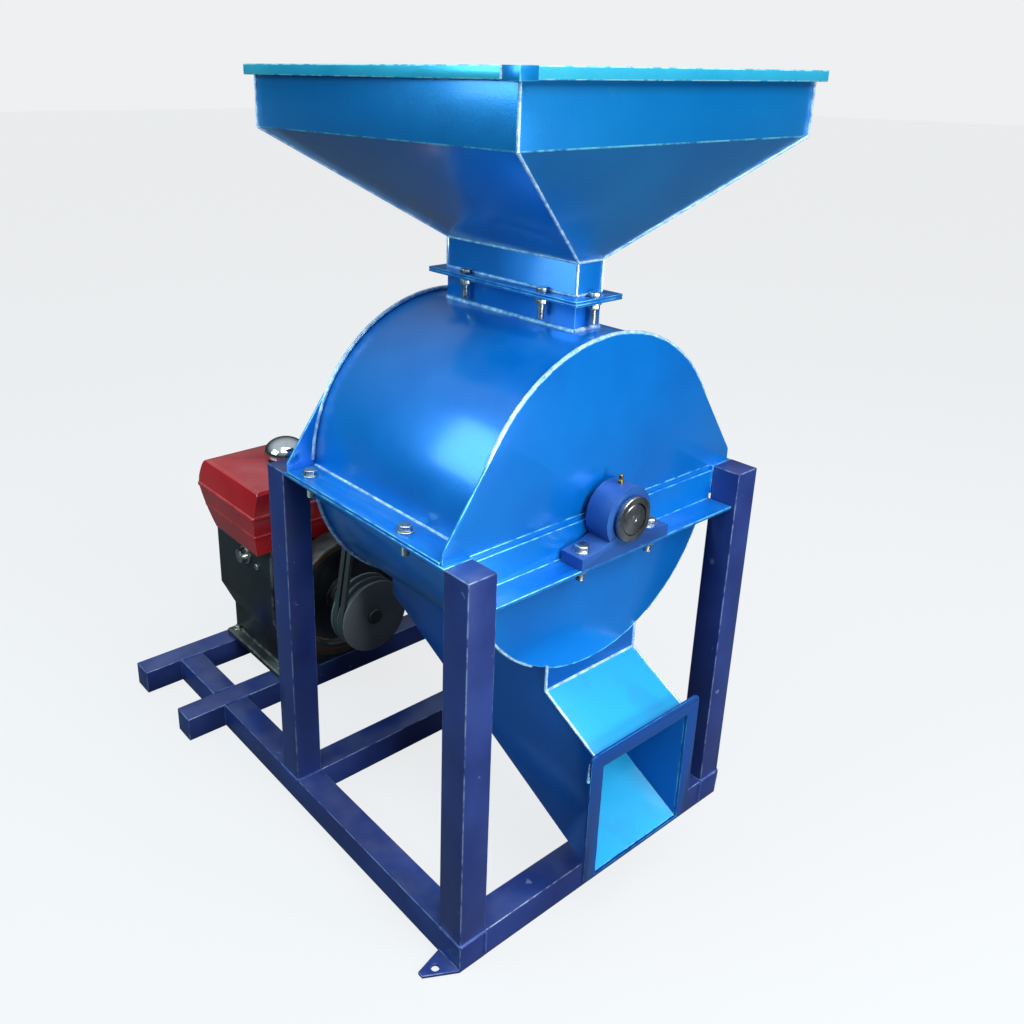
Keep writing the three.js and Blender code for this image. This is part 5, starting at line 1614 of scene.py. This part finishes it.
@dataclass
class Studio:
    """Pale floor, soft light and the camera.

    Attributes:
        eye: camera's place.
        heading: heading of the view in degrees, 0 along +Y and positive towards -X.
        fall: how far the view looks down, in degrees.
        roll: roll of the picture in degrees.
        lens: focal length on a 36 mm sensor.
        shift: shift of the picture, right and up.
        pale: colour of the backdrop.
        bounce: colour that the floor reflects.
        glow: how much the floor shows of the backdrop's colour by itself.
        room: strength of the surroundings at the horizon and overhead.
    """

    eye: Point = (-1.0242, -1.3017, 1.2708)
    heading: float = -39.44
    fall: float = 20.29
    roll: float = 0.70
    lens: float = 33.94
    shift: tuple[float, float] = (0.067, -0.082)
    pale: Colour = (0.86, 0.87, 0.88)
    bounce: Colour = (0.07, 0.072, 0.076)
    glow: float = 0.9
    room: tuple[float, float] = (0.02, 0.7)

    def build(self) -> None:
        """Sets the stage."""
        bpy.context.scene.view_settings.view_transform = "Standard"
        self.camera()
        self.floor()
        self.surroundings()
        self.lights()

    def camera(self) -> None:
        """Camera at the viewing angle of the main picture."""
        data = bpy.data.cameras.new("camera")
        data.lens = self.lens
        data.sensor_width = 36.0
        data.shift_x, data.shift_y = self.shift
        data.clip_start = 0.02
        camera = bpy.data.objects.new("camera", data)
        bpy.context.collection.objects.link(camera)
        turn = Matrix.Rotation(math.radians(self.heading), 4, "Z")
        tilt = Matrix.Rotation(math.radians(90.0 - self.fall), 4, "X")
        roll = Matrix.Rotation(math.radians(self.roll), 4, "Z")
        camera.matrix_world = Matrix.Translation(Vector(self.eye)) @ turn @ tilt @ roll
        bpy.context.scene.camera = camera

    def floor(self) -> None:
        """Floor that runs to the horizon, pale to look at and dimmer in reflections."""
        Bench.clear()
        bpy.ops.mesh.primitive_plane_add(size=60.0, location=(0.0, 0.0, -0.0006))
        ground = bpy.context.object
        ground.name = "studio_floor"
        Bench.settle(ground)
        material = bpy.data.materials.new("studio_floor")
        material.use_nodes = True
        tree = material.node_tree
        shader = tree.nodes["Principled BSDF"]
        shader.inputs["Roughness"].default_value = 0.8
        shader.inputs["Specular IOR Level"].default_value = 0.2
        shader.inputs["Base Color"].default_value = (*self.bounce, 1.0)
        shader.inputs["Emission Color"].default_value = (*self.pale, 1.0)
        ray = tree.nodes.new("ShaderNodeLightPath")
        glow = combine(tree, "MULTIPLY", ray.outputs["Is Camera Ray"], self.glow)
        tree.links.new(glow, shader.inputs["Emission Strength"])
        ground.data.materials.append(material)

    def surroundings(self) -> None:
        """Pale backdrop, with a room around it that is bright above and dark at the sides."""
        world = bpy.data.worlds.new("studio")
        bpy.context.scene.world = world
        world.use_nodes = True
        tree = world.node_tree
        backdrop = tree.nodes["Background"]
        backdrop.inputs["Color"].default_value = (*self.pale, 1.0)
        backdrop.inputs["Strength"].default_value = 1.0
        room = tree.nodes.new("ShaderNodeBackground")
        room.inputs["Color"].default_value = (0.80, 0.91, 1.0, 1.0)
        place = tree.nodes.new("ShaderNodeTexCoord")
        apart = tree.nodes.new("ShaderNodeSeparateXYZ")
        tree.links.new(place.outputs["Generated"], apart.inputs["Vector"])
        tree.links.new(spread(tree, apart.outputs["Z"], 0.0, 0.95, *self.room), room.inputs["Strength"])
        ray = tree.nodes.new("ShaderNodeLightPath")
        mix = tree.nodes.new("ShaderNodeMixShader")
        tree.links.new(ray.outputs["Is Camera Ray"], mix.inputs[0])
        tree.links.new(room.outputs[0], mix.inputs[1])
        tree.links.new(backdrop.outputs[0], mix.inputs[2])
        tree.links.new(mix.outputs[0], tree.nodes["World Output"].inputs["Surface"])

    def lights(self) -> None:
        """A large soft ceiling light, a cool one at the left and a high one in front."""
        self.lamp("ceiling", (-0.7, -0.9, 3.4), (0.0, 0.0, 0.6), 2.2, 75.0, (0.90, 0.98, 1.0))
        self.lamp("left", (-2.7, 0.7, 2.1), (0.0, 0.0, 0.8), 1.7, 62.0, (0.45, 0.92, 1.0))
        self.lamp("front", (0.5, -3.1, 3.3), (0.0, -0.2, 0.5), 1.9, 158.0, (0.92, 0.99, 1.0))
        self.lamp("low", (-0.1, -2.4, 0.75), (0.0, -0.45, 0.15), 0.5, 30.0, (0.88, 0.98, 1.0))

    @staticmethod
    def lamp(name: str, at: Point, towards: Point, size: float, power: float, colour: Colour) -> None:
        """A square area lamp that looks at a point."""
        data = bpy.data.lights.new(name, "AREA")
        data.size = size
        data.energy = power
        data.color = colour
        lamp = bpy.data.objects.new(name, data)
        bpy.context.collection.objects.link(lamp)
        way = Vector(towards) - Vector(at)
        lamp.matrix_world = Matrix.Translation(Vector(at)) @ way.to_track_quat("-Z", "Y").to_matrix().to_4x4()


def main() -> None:
    """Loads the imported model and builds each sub-assembly."""
    logging.basicConfig(level=logging.INFO, format="%(name)s: %(message)s")
    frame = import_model()
    record = frame["record"]
    shop = Shop(
        nodes=frame["nodes"],
        body_of={node: body for body, nodes in record["behaviour"]["bodies"].items() for node in nodes},
        slot_of={row["node"]: row["material_slot"] for row in record["subparts"]})
    Studio().build()
    for part in (Framework, Casing, Hopper, Chute, Bearings, Rotor, BeltDrive, Engine):
        part(shop).build()
        log.info("%s done", part.__name__)


if __name__ == "__main__":
    main()
